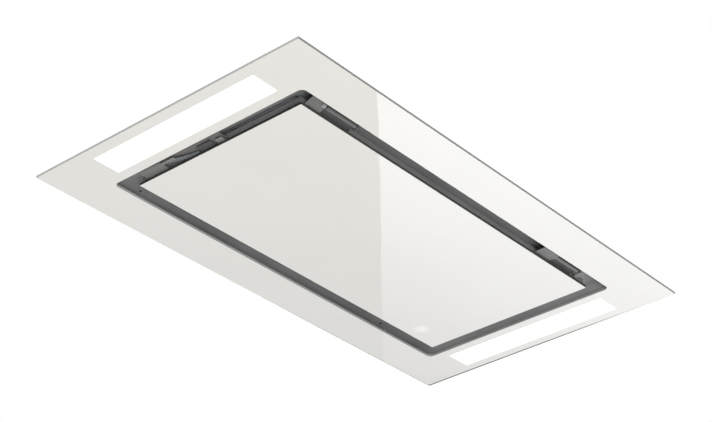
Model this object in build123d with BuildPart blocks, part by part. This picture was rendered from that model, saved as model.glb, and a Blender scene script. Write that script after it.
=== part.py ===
from build123d import *
from math import cos, radians, sin
import os

# Ceiling range hood, in millimetres. The origin is the centre of the glass underside.
# +X runs along the hood, +Y across it and +Z up into the ceiling.
# The hatch hinges along the -Y side. "Left" is the -X end and "right" the +X end.

# ---- driving dimensions -------------------------------------------------------------

# glass, as seen from below
hatch_length = 677.0
hatch_width = 310.0
hatch_corner_radius = 1.0
slot_width = 26.0  # open intake slot all round the hatch
opening_corner_radius = 9.0
long_border = 69.0  # glass between the opening and a long edge
light_web = 17.5  # glass between the opening and a light window
light_window_width = 48.0
light_window_length = 305.0
light_border = 20.0  # glass between a light window and a short edge
glass_thickness = 4.0
glass_arris = 0.4

# sheet steel frame and housing
sheet = 1.2
seat_gap = 0.2  # between two sheet walls that slide into each other
carrier_inset = 2.0  # glass that stands out past the carrier's flange
carrier_setback = 1.5  # carrier held back from the opening's edge
upstand_inset = 11.0  # glass edge to the carrier's upstand, which passes the ceiling cut-out
upstand_height = 28.8
corner_radius = 6.0
shell_lip = 12.0  # shell's top edge, turned inwards under the roof
roof_skirt = 15.0
bead_length = 560.0
bead_width = 24.0
bead_height = 3.0
bead_inset = 89.0  # roof's long edge to the middle of a bead
wall_bead_end = 85.0  # housing's corner to the end of a wall's bead
wall_bead_rise = 68.0  # upstand's top to the middle of the lower beads
wall_bead_pitch = 72.0  # between the lower and the upper beads

# dark intake liner above the slot
liner_depth = 30.0  # glass underside to the liner's plate
liner_setback_x = 5.5
liner_setback_y = 41.0
liner_foot = 4.0
liner_corner_radius = 12.0
liner_screw_x = 283.5
liner_screw_edge = 9.0  # liner wall to a screw's axis
screw_radius = 2.0
screw_head_radius = 4.0
screw_head_height = 2.2
screw_length = 10.0
nut_across_flats = 7.0
nut_height = 3.2

# hatch tray and its hinges
tray_sheet = 1.0
tray_inset = 3.0
tray_depth = 12.0
stiffener_x = 110.0
stiffener_width = 40.0
stiffener_height = 7.0
stiffener_length = 240.0
hinge_x = 268.5
hinge_slot_length = 66.0
hinge_slot_height = 7.0
hinge_offset = 11.0  # hatch edge to the pivot
pivot_height = 11.0
pin_radius = 2.5
pin_head_radius = 4.0
pin_head_height = 1.2
hinge_running_gap = 0.05
hinge_fixed_gap = 0.02
knuckle_wall = 2.05
arm_width = 60.0
arm_thickness = 2.0
arm_seat = 34.0  # length of the arm that lies on the tray
ear_gap = 0.6
ear_thickness = 1.6
ear_radius = 6.0
bracket_length = 116.0
bracket_width = 18.0

# magnetic catches
catch_x = 215.0
magnet_length = 40.0
magnet_width = 11.0
magnet_height = 12.0
pole_height = 0.8
pole_thickness = 2.0
catch_edge = 10.5  # hatch edge to the catch's axis
strike_sheet = 1.5
strike_gap = 0.3
strike_foot = 12.0

# grease filters
filter_web = 14.0  # liner plate left between the two filters
filter_end_margin = 11.5
filter_side_margin = 21.0
filter_clearance = 1.5
filter_rise = 6.4  # filter's top above the underside of the liner's plate
filter_thickness = 9.0
filter_rim = 8.0
filter_wall = 1.2
mesh_gap = 0.5
mesh_thickness = 0.8
pleat_pitch = 12.0
filter_tab_x = 80.0
filter_tab_width = 30.0
filter_tab_reach = 9.0
filter_tab_thickness = 1.5
latch_width = 65.8
latch_length = 24.8
latch_thickness = 2.5
latch_travel = 5.0
latch_gap = 0.3
latch_side_gap = 0.5
latch_ledge = 4.4
tongue_width = 30.0
tongue_reach = 4.5  # hold of the tongue on the liner's plate
grip_width = 40.0
grip_thickness = 4.0
grip_height = 7.5
grip_setback = 12.0

# lights
diffuser_gap = 0.2
diffuser_flange = 2.0
diffuser_flange_thickness = 2.0
diffuser_seat_gap = 0.5
light_tray_gap = 1.0
light_tray_height = 16.8
board_width = 24.0
board_length = 290.0
board_thickness = 1.6
chip_count = 12
chip_size = 5.0
chip_height = 1.0
chip_pitch = 24.0

# fan
impeller_radius = 70.0
impeller_half_width = 60.0
blade_count = 36
blade_depth = 12.0
blade_sweep = 7.0  # degrees that the tip leads the root
blade_thickness = 1.2
impeller_rim = 4.5
rim_thickness = 3.0
rotor_disc_thickness = 3.0
hub_radius = 14.0
hub_length = 22.0
shaft_radius = 4.0
shaft_end = 96.0
scroll_gap = 12.0  # impeller to scroll, at the top
scroll_step = 15.0  # growth of the scroll in each quarter turn
scroll_half_width = 75.0
tongue_angle = 50.0
tongue_nose = 5.0
scroll_seam = 3.0
fan_floor_gap = 5.0  # filter's top to the scroll's underside
outlet_lip = 2.0  # scroll's top to its outlet edge
inlet_radius = 60.0
inlet_curve = 9.0
inlet_flange = 8.0
motor_radius = 41.9
motor_start = 8.0
motor_end = 92.0
motor_rounding = 6.0
collar_gap = 0.1
collar_wall = 2.5
collar_length = 12.0
bracket_arm_width = 12.0
bracket_arm_count = 3
bracket_thickness = 3.0

# outlet
adaptor_height = 15.0
duct_radius = 75.0  # outside of the spigot, for a 150 mm duct
spigot_wall = 1.2
spigot_height = 43.0
spigot_flange = 17.0
spigot_flange_thickness = 1.5
outlet_plate_width = 220.0  # screwed over the roof's square outlet hole
outlet_plate_lap = 20.0
outlet_plate_gap = 5.0  # spigot's collar to the edge of the plate's hole, under the flange
ledge_width = 3.0
ledge_height = 1.5
flap_axis_height = 18.0  # roof to the flaps' pin
flap_thickness = 1.0
flap_edge_gap = 0.6
flap_ledge_gap = 0.3
flap_drop = 2.2  # pin axis to the middle of a flap
flap_root = 4.0  # pin axis to a flap's straight edge
flap_pin_radius = 2.0
flap_knuckle_radius = 3.4
flap_knuckle_length = 20.0
flap_knuckle_spacing = 56.0  # between the two knuckles of one flap
flap_knuckle_stagger = 17.0  # each flap's pair stands this far off centre

# suspension
lug_inset_x = 59.0  # roof's short edge to a suspension hole
lug_inset_y = 49.0  # roof's long edge to a suspension hole
lug_hole_radius = 4.5
lug_sheet = 2.0
lug_width = 30.0
lug_foot = 26.0
lug_head = 32.0
lug_rise = 12.0
lug_slope = 5.0

# electrics
control_end_gap = 36.4  # housing's end wall to the control box
control_length = 170.0
control_width = 120.0
control_height = 52.0
plastic_wall = 2.0
cover_thickness = 2.0
cover_lip = 1.5
terminal_length = 60.0
terminal_width = 22.0
terminal_height = 18.0
driver_end_gap = 106.4  # housing's other end wall to the light driver
driver_length = 150.0
driver_width = 42.0
driver_height = 24.0
driver_ear = 12.0
driver_ear_thickness = 2.5
gland_offset = 60.0  # control box centre to the cable gland
gland_bore_radius = 4.0
gland_thread_radius = 8.0
gland_flats = 22.0
gland_nut_height = 6.0
gland_dome_height = 12.0
gland_thread_length = 9.0
gland_hole_gap = 0.2
cable_plate_length = 64.0  # screwed over the roof's cable hole, under the gland
cable_plate_width = 56.0
cable_plate_lap = 12.0

# ---- places worked out from the driving dimensions ----------------------------------

opening_length = hatch_length + 2 * slot_width
opening_width = hatch_width + 2 * slot_width
frame_length = opening_length + 2 * (light_web + light_window_width + light_border)
frame_width = opening_width + 2 * long_border
light_x = frame_length / 2 - light_border - light_window_width / 2

flange_top = glass_thickness + sheet
upstand_length = frame_length - 2 * upstand_inset
upstand_width = frame_width - 2 * upstand_inset
shell_length = upstand_length - 2 * (sheet + seat_gap)
shell_width = upstand_width - 2 * (sheet + seat_gap)
shell_radius = corner_radius - sheet - seat_gap
bead_low = flange_top + upstand_height + wall_bead_rise

liner_length = opening_length + 2 * liner_setback_x
liner_width = opening_width + 2 * liner_setback_y
liner_top = liner_depth + sheet
liner_screw_y = liner_width / 2 - liner_screw_edge

tray_length = hatch_length - 2 * tray_inset
tray_width = hatch_width - 2 * tray_inset
tray_floor = glass_thickness + tray_sheet
pivot_y = -hatch_width / 2 - hinge_offset
knuckle_bore = pin_radius + hinge_running_gap
knuckle_radius = knuckle_bore + knuckle_wall
ear_inner = arm_width / 2 + ear_gap
ear_outer = ear_inner + ear_thickness
catch_y = hatch_width / 2 - catch_edge
magnet_bottom = liner_depth - magnet_height
strike_top = magnet_bottom - pole_height - strike_gap

filter_opening_length = hatch_length / 2 - filter_web / 2 - filter_end_margin
filter_opening_width = hatch_width - 2 * filter_side_margin
filter_length = filter_opening_length - 2 * filter_clearance
filter_width = filter_opening_width - 2 * filter_clearance
filter_x = (filter_web + filter_opening_length) / 2
filter_top = liner_depth + filter_rise
filter_bottom = filter_top - filter_thickness
latch_bottom = liner_top + latch_gap
latch_front = -filter_width / 2 + filter_wall + latch_side_gap
pocket_length = latch_side_gap + latch_length + latch_travel + latch_side_gap

diffuser_flange_width = light_window_width + 2 * diffuser_flange
diffuser_flange_length = light_window_length + 2 * diffuser_flange
light_tray_width = diffuser_flange_width + 2 * (light_tray_gap + sheet)
light_tray_length = diffuser_flange_length + 2 * (light_tray_gap + sheet)

# The scroll is four quarter arcs about the corners of a square, each one step wider.
scroll_top_reach = impeller_radius + scroll_gap
scroll_bottom_reach = scroll_top_reach + 2 * scroll_step
scroll_right_reach = scroll_top_reach + 3 * scroll_step
quarter_radius = scroll_top_reach + scroll_step / 2
tongue_centre = (-scroll_step / 2, scroll_step / 2)
tongue_arc_radius = quarter_radius - scroll_step
tongue_point_y = tongue_centre[0] + tongue_arc_radius * cos(radians(tongue_angle))
throat_left = tongue_point_y + tongue_nose * (1 + cos(radians(tongue_angle)))
fan_y = -(throat_left + scroll_right_reach) / 2
fan_z = filter_top + fan_floor_gap + sheet + scroll_bottom_reach
outlet_reach = scroll_top_reach + sheet + outlet_lip
outlet_z = fan_z + outlet_reach
throat_width = scroll_right_reach - throat_left

roof_z = outlet_z + adaptor_height
roof_top = roof_z + sheet
roof_length = shell_length + 2 * (sheet + seat_gap)
roof_width = shell_width + 2 * (sheet + seat_gap)
bead_y = roof_width / 2 - bead_inset
lug_x = roof_length / 2 - lug_inset_x
lug_y = roof_width / 2 - lug_inset_y
plate_top = roof_top + sheet
spigot_top = roof_top + spigot_height
duct_bore = duct_radius - spigot_wall
flap_z = roof_top + flap_axis_height
flap_bottom = flap_z - flap_drop - flap_thickness / 2
ledge_top = flap_bottom - flap_ledge_gap
housing_end = shell_length / 2 - sheet  # inside of the housing's end walls
control_x = housing_end - control_end_gap - control_length / 2
driver_x = -(housing_end - driver_end_gap - driver_length / 2)
gland_x = control_x + gland_offset

SIDES = {"left": -1, "right": 1}


def save(piece, label):
    """Write one finished piece under its node name."""
    piece.label = label
    export_step(piece, f"parts/{label}.step")


def across(x):
    """Plane square to the hood's length at x: its own axes are Y and Z."""
    return Plane(origin=(x, 0, 0), x_dir=(0, 1, 0), z_dir=(1, 0, 0))


def along(y):
    """Plane square to the hood's width at y: its own axes are X and Z."""
    return Plane(origin=(0, y, 0), x_dir=(1, 0, 0), z_dir=(0, -1, 0))


def fan_plane(x):
    """As across, with its origin on the fan's shaft."""
    return Plane(origin=(x, fan_y, fan_z), x_dir=(0, 1, 0), z_dir=(1, 0, 0))


fan_axis = Axis((0, fan_y, fan_z), (1, 0, 0))
fan_profile = Plane(origin=(0, fan_y, fan_z), x_dir=(1, 0, 0), z_dir=(0, -1, 0))


# ---- glass --------------------------------------------------------------------------


def make_glass_frame():
    """Back-painted glass with the intake opening and a light window at each end."""
    with BuildPart() as glass_frame:
        with BuildSketch():
            Rectangle(frame_length, frame_width)
            RectangleRounded(
                opening_length, opening_width, opening_corner_radius, mode=Mode.SUBTRACT
            )
            with Locations((-light_x, 0), (light_x, 0)):
                Rectangle(light_window_width, light_window_length, mode=Mode.SUBTRACT)
        extrude(amount=glass_thickness)
        outer = [
            edge
            for edge in glass_frame.edges().filter_by(Plane.XY)
            if edge.length > max(opening_length, frame_width) - 1
            or abs(edge.center().X) > frame_length / 2 - 1
        ]
        chamfer([edge for edge in outer if on_outline(edge)], glass_arris)
    return glass_frame.part


def on_outline(edge):
    """True for an edge on the frame's outer rectangle."""
    middle = edge.center()
    on_end = abs(abs(middle.X) - frame_length / 2) < 0.01
    on_side = abs(abs(middle.Y) - frame_width / 2) < 0.01
    return on_end or on_side


def make_hatch_glass():
    """Centre glass, flush with the frame's glass."""
    with BuildPart() as hatch_glass:
        with BuildSketch():
            RectangleRounded(hatch_length, hatch_width, hatch_corner_radius)
        extrude(amount=glass_thickness)
        chamfer(hatch_glass.faces().sort_by(Axis.Z)[0].edges(), glass_arris)
    return hatch_glass.part


# ---- sheet steel frame and housing --------------------------------------------------


def make_frame_carrier():
    """Folded frame bonded to the glass, with an upstand that passes the ceiling."""
    with BuildPart() as frame_carrier:
        with BuildSketch(Plane.XY.offset(glass_thickness)):
            Rectangle(frame_length - 2 * carrier_inset, frame_width - 2 * carrier_inset)
            RectangleRounded(
                opening_length + 2 * carrier_setback,
                opening_width + 2 * carrier_setback,
                opening_corner_radius + carrier_setback,
                mode=Mode.SUBTRACT,
            )
            with Locations((-light_x, 0), (light_x, 0)):
                Rectangle(
                    diffuser_flange_width + 2 * diffuser_seat_gap,
                    diffuser_flange_length + 2 * diffuser_seat_gap,
                    mode=Mode.SUBTRACT,
                )
        extrude(amount=sheet)
        with BuildSketch(Plane.XY.offset(flange_top)):
            RectangleRounded(upstand_length, upstand_width, corner_radius)
            RectangleRounded(
                upstand_length - 2 * sheet,
                upstand_width - 2 * sheet,
                corner_radius - sheet,
                mode=Mode.SUBTRACT,
            )
        extrude(amount=upstand_height)
    return frame_carrier.part


def make_housing_shell():
    """Four walls inside the upstand, with pressed beads and the top edge turned inwards."""
    with BuildPart() as housing_shell:
        with BuildSketch(Plane.XY.offset(flange_top)):
            RectangleRounded(shell_length, shell_width, shell_radius)
            RectangleRounded(
                shell_length - 2 * sheet,
                shell_width - 2 * sheet,
                shell_radius - sheet,
                mode=Mode.SUBTRACT,
            )
        extrude(amount=roof_z - flange_top)
        with BuildSketch(Plane.XY.offset(roof_z - sheet)):
            RectangleRounded(shell_length, shell_width, shell_radius)
            Rectangle(
                shell_length - 2 * shell_lip,
                shell_width - 2 * shell_lip,
                mode=Mode.SUBTRACT,
            )
        extrude(amount=sheet)
        for slimmer, depth, mode in (
            (0, bead_height + sheet, Mode.ADD),
            (2 * sheet, bead_height, Mode.SUBTRACT),
        ):
            for side in SIDES.values():
                for wall, length in (
                    (along(side * shell_width / 2), shell_length),
                    (across(-side * shell_length / 2), shell_width),
                ):
                    with BuildSketch(wall):
                        with Locations((0, bead_low), (0, bead_low + wall_bead_pitch)):
                            SlotOverall(length - 2 * wall_bead_end - slimmer, bead_width - slimmer)
                    extrude(amount=side * depth, mode=mode)
    return housing_shell.part


def make_housing_roof():
    """Lid over the shell with pressed beads and a square hole under each plate."""
    with BuildPart() as housing_roof:
        with BuildSketch(Plane.XY.offset(roof_z)):
            RectangleRounded(roof_length, roof_width, corner_radius)
            outlet_hole = outlet_plate_width - 2 * outlet_plate_lap
            Rectangle(outlet_hole, outlet_hole, mode=Mode.SUBTRACT)
            with Locations((gland_x, 0)):
                Rectangle(
                    cable_plate_length - 2 * cable_plate_lap,
                    cable_plate_width - 2 * cable_plate_lap,
                    mode=Mode.SUBTRACT,
                )
        extrude(amount=sheet)
        with BuildSketch(Plane.XY.offset(roof_z - roof_skirt)):
            RectangleRounded(roof_length, roof_width, corner_radius)
            RectangleRounded(
                roof_length - 2 * sheet,
                roof_width - 2 * sheet,
                corner_radius - sheet,
                mode=Mode.SUBTRACT,
            )
        extrude(amount=roof_skirt)
        with BuildSketch(Plane.XY.offset(roof_z)):
            with Locations((0, -bead_y), (0, bead_y)):
                SlotOverall(bead_length, bead_width)
        extrude(amount=bead_height + sheet)
        with BuildSketch(Plane.XY.offset(roof_z)):
            with Locations((0, -bead_y), (0, bead_y)):
                SlotOverall(bead_length - 2 * sheet, bead_width - 2 * sheet)
        extrude(amount=bead_height, mode=Mode.SUBTRACT)
    return housing_roof.part


def make_outlet_plate():
    """Plate on the roof that carries the spigot."""
    with BuildPart() as outlet_plate:
        with BuildSketch(Plane.XY.offset(roof_top)):
            RectangleRounded(outlet_plate_width, outlet_plate_width, corner_radius)
            Circle(duct_radius + outlet_plate_gap, mode=Mode.SUBTRACT)
        extrude(amount=sheet)
    return outlet_plate.part


def make_cable_plate():
    """Plate on the roof, above the control box, that carries the cable gland."""
    with BuildPart() as cable_plate:
        with BuildSketch(Plane.XY.offset(roof_top)):
            with Locations((gland_x, 0)):
                RectangleRounded(cable_plate_length, cable_plate_width, corner_radius)
                Circle(gland_thread_radius + gland_hole_gap, mode=Mode.SUBTRACT)
        extrude(amount=sheet)
    return cable_plate.part


def make_suspension_lug(side_x, side_y):
    """Folded lug on the roof, with a raised head that takes a threaded rod."""
    with BuildPart() as suspension_lug:
        with BuildSketch(along(side_y * lug_y)):
            middle = lug_sheet / 2
            hole = side_x * lug_x
            foot_end = hole - side_x * (lug_head / 2 + lug_slope)
            with BuildLine():
                FilletPolyline(
                    (foot_end - side_x * lug_foot, roof_top + middle),
                    (foot_end, roof_top + middle),
                    (foot_end + side_x * lug_slope, roof_top + middle + lug_rise),
                    (hole + side_x * lug_head / 2, roof_top + middle + lug_rise),
                    radius=lug_sheet,
                )
            trace(line_width=lug_sheet)
        extrude(amount=lug_width / 2, both=True)
        with Locations((hole, side_y * lug_y, roof_top + middle + lug_rise)):
            Hole(lug_hole_radius, depth=2 * lug_sheet)
    return suspension_lug.part


# ---- intake liner -------------------------------------------------------------------


def make_intake_liner():
    """Dark pressed pan above the slot, open below, with the two filter openings."""
    with BuildPart() as intake_liner:
        with BuildSketch(Plane.XY.offset(flange_top)):
            RectangleRounded(
                liner_length + 2 * liner_foot,
                liner_width + 2 * liner_foot,
                liner_corner_radius + liner_foot,
            )
        extrude(amount=sheet)
        with BuildSketch(Plane.XY.offset(flange_top)):
            RectangleRounded(liner_length, liner_width, liner_corner_radius)
        extrude(amount=liner_top - flange_top)
        with BuildSketch(Plane.XY.offset(flange_top)):
            RectangleRounded(
                liner_length - 2 * sheet,
                liner_width - 2 * sheet,
                liner_corner_radius - sheet,
            )
        extrude(amount=liner_depth - flange_top, mode=Mode.SUBTRACT)
        with BuildSketch(Plane.XY.offset(liner_depth)):
            with Locations((-filter_x, 0), (filter_x, 0)):
                Rectangle(filter_opening_length, filter_opening_width)
            with Locations(*screw_places()):
                Circle(screw_radius + hinge_running_gap)
        extrude(amount=sheet, mode=Mode.SUBTRACT)
    return intake_liner.part


def screw_places():
    """Plan positions of the liner's screws and of those that hold the hinge brackets."""
    wing = (ear_outer + bracket_length / 2) / 2
    liner = [(x * liner_screw_x, y * liner_screw_y) for x in (-1, 1) for y in (-1, 1)]
    hinges = [(x * hinge_x + w * wing, pivot_y) for x in (-1, 1) for w in (-1, 1)]
    return liner + hinges


def make_screws():
    """Pan head screws with nuts, up through the liner's plate."""
    with BuildPart() as liner_screws:
        for x, y in screw_places():
            seat = liner_depth - (ear_thickness if abs(y) < liner_screw_y - 1 else 0)
            with BuildSketch(Plane.XY.offset(seat - screw_head_height)):
                with Locations((x, y)):
                    Circle(screw_head_radius)
            extrude(amount=screw_head_height)
            with BuildSketch(Plane.XY.offset(seat)):
                with Locations((x, y)):
                    Circle(screw_radius)
            extrude(amount=liner_top - seat + screw_length)
            with BuildSketch(Plane.XY.offset(liner_top)):
                with Locations((x, y)):
                    RegularPolygon(nut_across_flats / 2, 6, major_radius=False)
            extrude(amount=nut_height)
    return liner_screws.part


# ---- hatch --------------------------------------------------------------------------


def make_hatch_tray():
    """Steel tray bonded to the centre glass: upturned rim, hinge slots, stiffeners."""
    with BuildPart() as hatch_tray:
        with BuildSketch(Plane.XY.offset(glass_thickness)):
            Rectangle(tray_length, tray_width)
        extrude(amount=tray_depth)
        with BuildSketch(Plane.XY.offset(tray_floor)):
            Rectangle(tray_length - 2 * tray_sheet, tray_width - 2 * tray_sheet)
        extrude(amount=tray_depth, mode=Mode.SUBTRACT)
        with BuildSketch(along(-tray_width / 2)):
            with Locations((-hinge_x, pivot_height), (hinge_x, pivot_height)):
                Rectangle(hinge_slot_length, hinge_slot_height)
        extrude(amount=-2 * tray_sheet, mode=Mode.SUBTRACT)
        for side in SIDES.values():
            with BuildSketch(along(0)):
                with BuildLine():
                    hat_section(side * stiffener_x, tray_floor, stiffener_width,
                                stiffener_height, tray_sheet, stiffener_width / 5)
                trace(line_width=tray_sheet)
            extrude(amount=stiffener_length / 2, both=True)
    return hatch_tray.part


def hat_section(x, floor, width, height, thickness, foot):
    """Centre line of a top-hat strip that stands on the floor height."""
    low = floor + thickness / 2
    high = floor + height - thickness / 2
    slope = foot / 2
    return Polyline(
        (x - width / 2, low),
        (x - width / 2 + foot, low),
        (x - width / 2 + foot + slope, high),
        (x + width / 2 - foot - slope, high),
        (x + width / 2 - foot, low),
        (x + width / 2, low),
    )


def make_hinge_arm(side):
    """Strap from the tray out through its slot to a knuckle on the hinge pin."""
    seat = tray_floor + arm_thickness / 2
    rise = pivot_height - seat
    rim = -tray_width / 2 + tray_sheet + arm_thickness
    with BuildPart() as hinge_arm:
        with BuildSketch(across(side * hinge_x)):
            with BuildLine():
                FilletPolyline(
                    (rim + rise + arm_seat, seat),
                    (rim + rise, seat),
                    (rim, pivot_height),
                    (pivot_y + (knuckle_bore + knuckle_radius) / 2, pivot_height),
                    radius=arm_thickness,
                )
            trace(line_width=arm_thickness)
            with Locations((pivot_y, pivot_height)):
                Circle(knuckle_radius)
                Circle(knuckle_bore, mode=Mode.SUBTRACT)
        extrude(amount=arm_width / 2, both=True)
    return hinge_arm.part


def make_hinge_bracket(side):
    """Two ears under the liner's plate that hold the hinge pin, with a screwed base."""
    with BuildPart() as hinge_bracket:
        with BuildSketch(Plane.XY.offset(liner_depth - ear_thickness)):
            with Locations((side * hinge_x, pivot_y)):
                Rectangle(bracket_length, bracket_width)
            with Locations(*[(x, y) for x, y in screw_places() if y == pivot_y]):
                Circle(screw_radius + hinge_running_gap, mode=Mode.SUBTRACT)
        extrude(amount=ear_thickness)
        for ear_start in (-ear_outer, ear_inner):
            with BuildSketch(across(side * hinge_x + ear_start)):
                with Locations((pivot_y, pivot_height)):
                    Circle(ear_radius)
                with Locations((pivot_y, liner_depth - ear_thickness)):
                    Rectangle(bracket_width, ear_thickness, align=(Align.CENTER, Align.MIN))
                make_hull()
                with Locations((pivot_y, pivot_height)):
                    Circle(pin_radius + hinge_fixed_gap, mode=Mode.SUBTRACT)
            extrude(amount=ear_thickness)
    return hinge_bracket.part


def make_hinge_pin(side):
    """Headed pin through both ears and the arm's knuckle."""
    with BuildPart() as hinge_pin:
        with BuildSketch(across(side * hinge_x - ear_outer - pin_head_height)):
            with Locations((pivot_y, pivot_height)):
                Circle(pin_head_radius)
        extrude(amount=pin_head_height)
        with BuildSketch(across(side * hinge_x - ear_outer)):
            with Locations((pivot_y, pivot_height)):
                Circle(pin_radius)
        extrude(amount=2 * ear_outer + pin_head_height)
    return hinge_pin.part


def make_catch_magnet(side):
    """Magnet block under the liner's plate with two pole plates."""
    with BuildPart() as catch_magnet:
        with BuildSketch(Plane.XY.offset(magnet_bottom)):
            with Locations((side * catch_x, catch_y)):
                RectangleRounded(magnet_length, magnet_width, magnet_width / 5)
        extrude(amount=magnet_height)
        with BuildSketch(Plane.XY.offset(magnet_bottom - pole_height)):
            with Locations((side * catch_x, catch_y)):
                with GridLocations(0, magnet_width / 2, 1, 2):
                    Rectangle(magnet_length - magnet_width / 2, pole_thickness)
        extrude(amount=pole_height)
    return catch_magnet.part


def make_catch_strike(side):
    """Steel bridge on the hatch tray that the magnet pulls."""
    length = magnet_length + 2 * strike_foot + magnet_width
    with BuildPart() as catch_strike:
        with BuildSketch(along(catch_y)):
            with BuildLine():
                hat_section(side * catch_x, tray_floor, length, strike_top - tray_floor,
                            strike_sheet, strike_foot)
            trace(line_width=strike_sheet)
        extrude(amount=magnet_width / 2, both=True)
    return catch_strike.part


# ---- grease filters -----------------------------------------------------------------


def make_filter_frame(side):
    """Channel-section frame with rear tabs and a pocket for the latch."""
    x = side * filter_x
    pocket_width = latch_width + 2 * latch_side_gap
    pocket_y = -filter_width / 2 + filter_wall + pocket_length / 2
    with BuildPart() as filter_frame:
        with BuildSketch(Plane.XY.offset(filter_bottom)):
            with Locations((x, 0)):
                Rectangle(filter_length, filter_width)
                Rectangle(
                    filter_length - 2 * filter_rim,
                    filter_width - 2 * filter_rim,
                    mode=Mode.SUBTRACT,
                )
        extrude(amount=filter_thickness)
        with BuildSketch(Plane.XY.offset(filter_bottom + filter_wall)):
            with Locations((x, 0)):
                Rectangle(filter_length - 2 * filter_wall, filter_width - 2 * filter_wall)
        extrude(amount=filter_thickness - 2 * filter_wall, mode=Mode.SUBTRACT)
        with BuildSketch(Plane.XY.offset(filter_bottom)):
            with Locations((x, pocket_y)):
                Rectangle(pocket_width + 2 * filter_wall, pocket_length + 2 * filter_wall)
        extrude(amount=filter_thickness)
        with BuildSketch(Plane.XY.offset(filter_bottom)):
            with Locations((x, pocket_y)):
                Rectangle(pocket_width, pocket_length)
        extrude(amount=filter_thickness - filter_wall, mode=Mode.SUBTRACT)
        with BuildSketch(Plane.XY.offset(liner_top - filter_wall)):
            with Locations((x, pocket_y)):
                with GridLocations(pocket_width - latch_ledge, 0, 2, 1):
                    Rectangle(latch_ledge, pocket_length)
        extrude(amount=filter_wall)
        with BuildSketch(along(-filter_width / 2)):
            with Locations((x, latch_bottom + latch_thickness / 2)):
                Rectangle(tongue_width + 2 * latch_side_gap, latch_thickness + 2 * latch_gap)
        extrude(amount=-filter_wall, mode=Mode.SUBTRACT)
        with BuildSketch(Plane.XY.offset(liner_top)):
            with Locations((x, (filter_width + filter_tab_reach) / 2)):
                with GridLocations(2 * filter_tab_x, 0, 2, 1):
                    Rectangle(filter_tab_width, filter_tab_reach)
        extrude(amount=filter_tab_thickness)
    return filter_frame.part


def make_filter_mesh(side):
    """Pleated mesh held in the frame's channel, notched round the latch pocket."""
    reach_x = filter_length / 2 - filter_wall - mesh_gap
    reach_y = filter_width / 2 - filter_wall - mesh_gap
    low = filter_bottom + filter_wall + mesh_thickness / 2
    high = filter_top - filter_wall - mesh_thickness / 2 - mesh_gap
    pleat_count = int(2 * reach_x / pleat_pitch)
    pitch = 2 * reach_x / pleat_count
    start = side * filter_x - reach_x
    crests = []
    for number in range(pleat_count):
        crests.append((start + number * pitch, low))
        crests.append((start + (number + 0.5) * pitch, high))
    crests.append((start + 2 * reach_x, low))
    lower = [(px, pz - mesh_thickness / 2) for px, pz in crests]
    upper = [(px, pz + mesh_thickness / 2) for px, pz in reversed(crests)]
    notch_width = latch_width + 2 * (latch_side_gap + filter_wall + mesh_gap)
    notch_end = -filter_width / 2 + pocket_length + 2 * filter_wall + mesh_gap
    with BuildPart() as filter_mesh:
        with BuildSketch(along(0)):
            with BuildLine():
                Polyline(*lower, *upper, close=True)
            make_face()
        extrude(amount=reach_y, both=True)
        with BuildSketch(Plane.XY.offset(filter_bottom)):
            with Locations((side * filter_x, notch_end)):
                Rectangle(notch_width, filter_width, align=(Align.CENTER, Align.MAX))
        extrude(amount=filter_thickness, mode=Mode.SUBTRACT)
    return filter_mesh.part


def make_filter_latch(side):
    """Sliding latch: a tongue over the liner's plate and a finger pull below."""
    x = side * filter_x
    with BuildPart() as filter_latch:
        with BuildSketch(Plane.XY.offset(latch_bottom)):
            with Locations((x, latch_front)):
                Rectangle(latch_width, latch_length, align=(Align.CENTER, Align.MIN))
            with Locations((x, latch_front)):
                Rectangle(
                    tongue_width,
                    latch_front + filter_opening_width / 2 + tongue_reach,
                    align=(Align.CENTER, Align.MAX),
                )
        extrude(amount=latch_thickness)
        with BuildSketch(Plane.XY.offset(latch_bottom - grip_height)):
            with Locations((x, latch_front + grip_setback)):
                RectangleRounded(grip_width, grip_thickness, grip_thickness / 3)
        extrude(amount=grip_height)
        bottom = filter_latch.faces().sort_by(Axis.Z)[0]
        fillet(bottom.edges(), grip_thickness / 5)
    return filter_latch.part


# ---- lights -------------------------------------------------------------------------


def make_light_diffuser(side):
    """Opal block flush with the glass, with a flange behind it."""
    with BuildPart() as light_diffuser:
        with BuildSketch():
            with Locations((side * light_x, 0)):
                Rectangle(
                    light_window_width - 2 * diffuser_gap,
                    light_window_length - 2 * diffuser_gap,
                )
        extrude(amount=glass_thickness)
        with BuildSketch(Plane.XY.offset(glass_thickness)):
            with Locations((side * light_x, 0)):
                Rectangle(diffuser_flange_width, diffuser_flange_length)
        extrude(amount=diffuser_flange_thickness)
    return light_diffuser.part


def make_light_tray(side):
    """Inverted channel over the diffuser that carries the light board."""
    with BuildPart() as light_tray:
        with BuildSketch(Plane.XY.offset(flange_top)):
            with Locations((side * light_x, 0)):
                Rectangle(light_tray_width, light_tray_length)
        extrude(amount=light_tray_height)
        with BuildSketch(Plane.XY.offset(flange_top)):
            with Locations((side * light_x, 0)):
                Rectangle(light_tray_width - 2 * sheet, light_tray_length - 2 * sheet)
        extrude(amount=light_tray_height - sheet, mode=Mode.SUBTRACT)
    return light_tray.part


def make_light_board(side):
    """Strip board with a row of light chips facing down."""
    board_top = flange_top + light_tray_height - sheet
    with BuildPart() as light_board:
        with BuildSketch(Plane.XY.offset(board_top - board_thickness)):
            with Locations((side * light_x, 0)):
                Rectangle(board_width, board_length)
        extrude(amount=board_thickness)
        with BuildSketch(Plane.XY.offset(board_top - board_thickness - chip_height)):
            with Locations((side * light_x, 0)):
                with GridLocations(0, chip_pitch, 1, chip_count):
                    Rectangle(chip_size, chip_size)
        extrude(amount=chip_height)
    return light_board.part


# ---- fan ----------------------------------------------------------------------------


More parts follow.
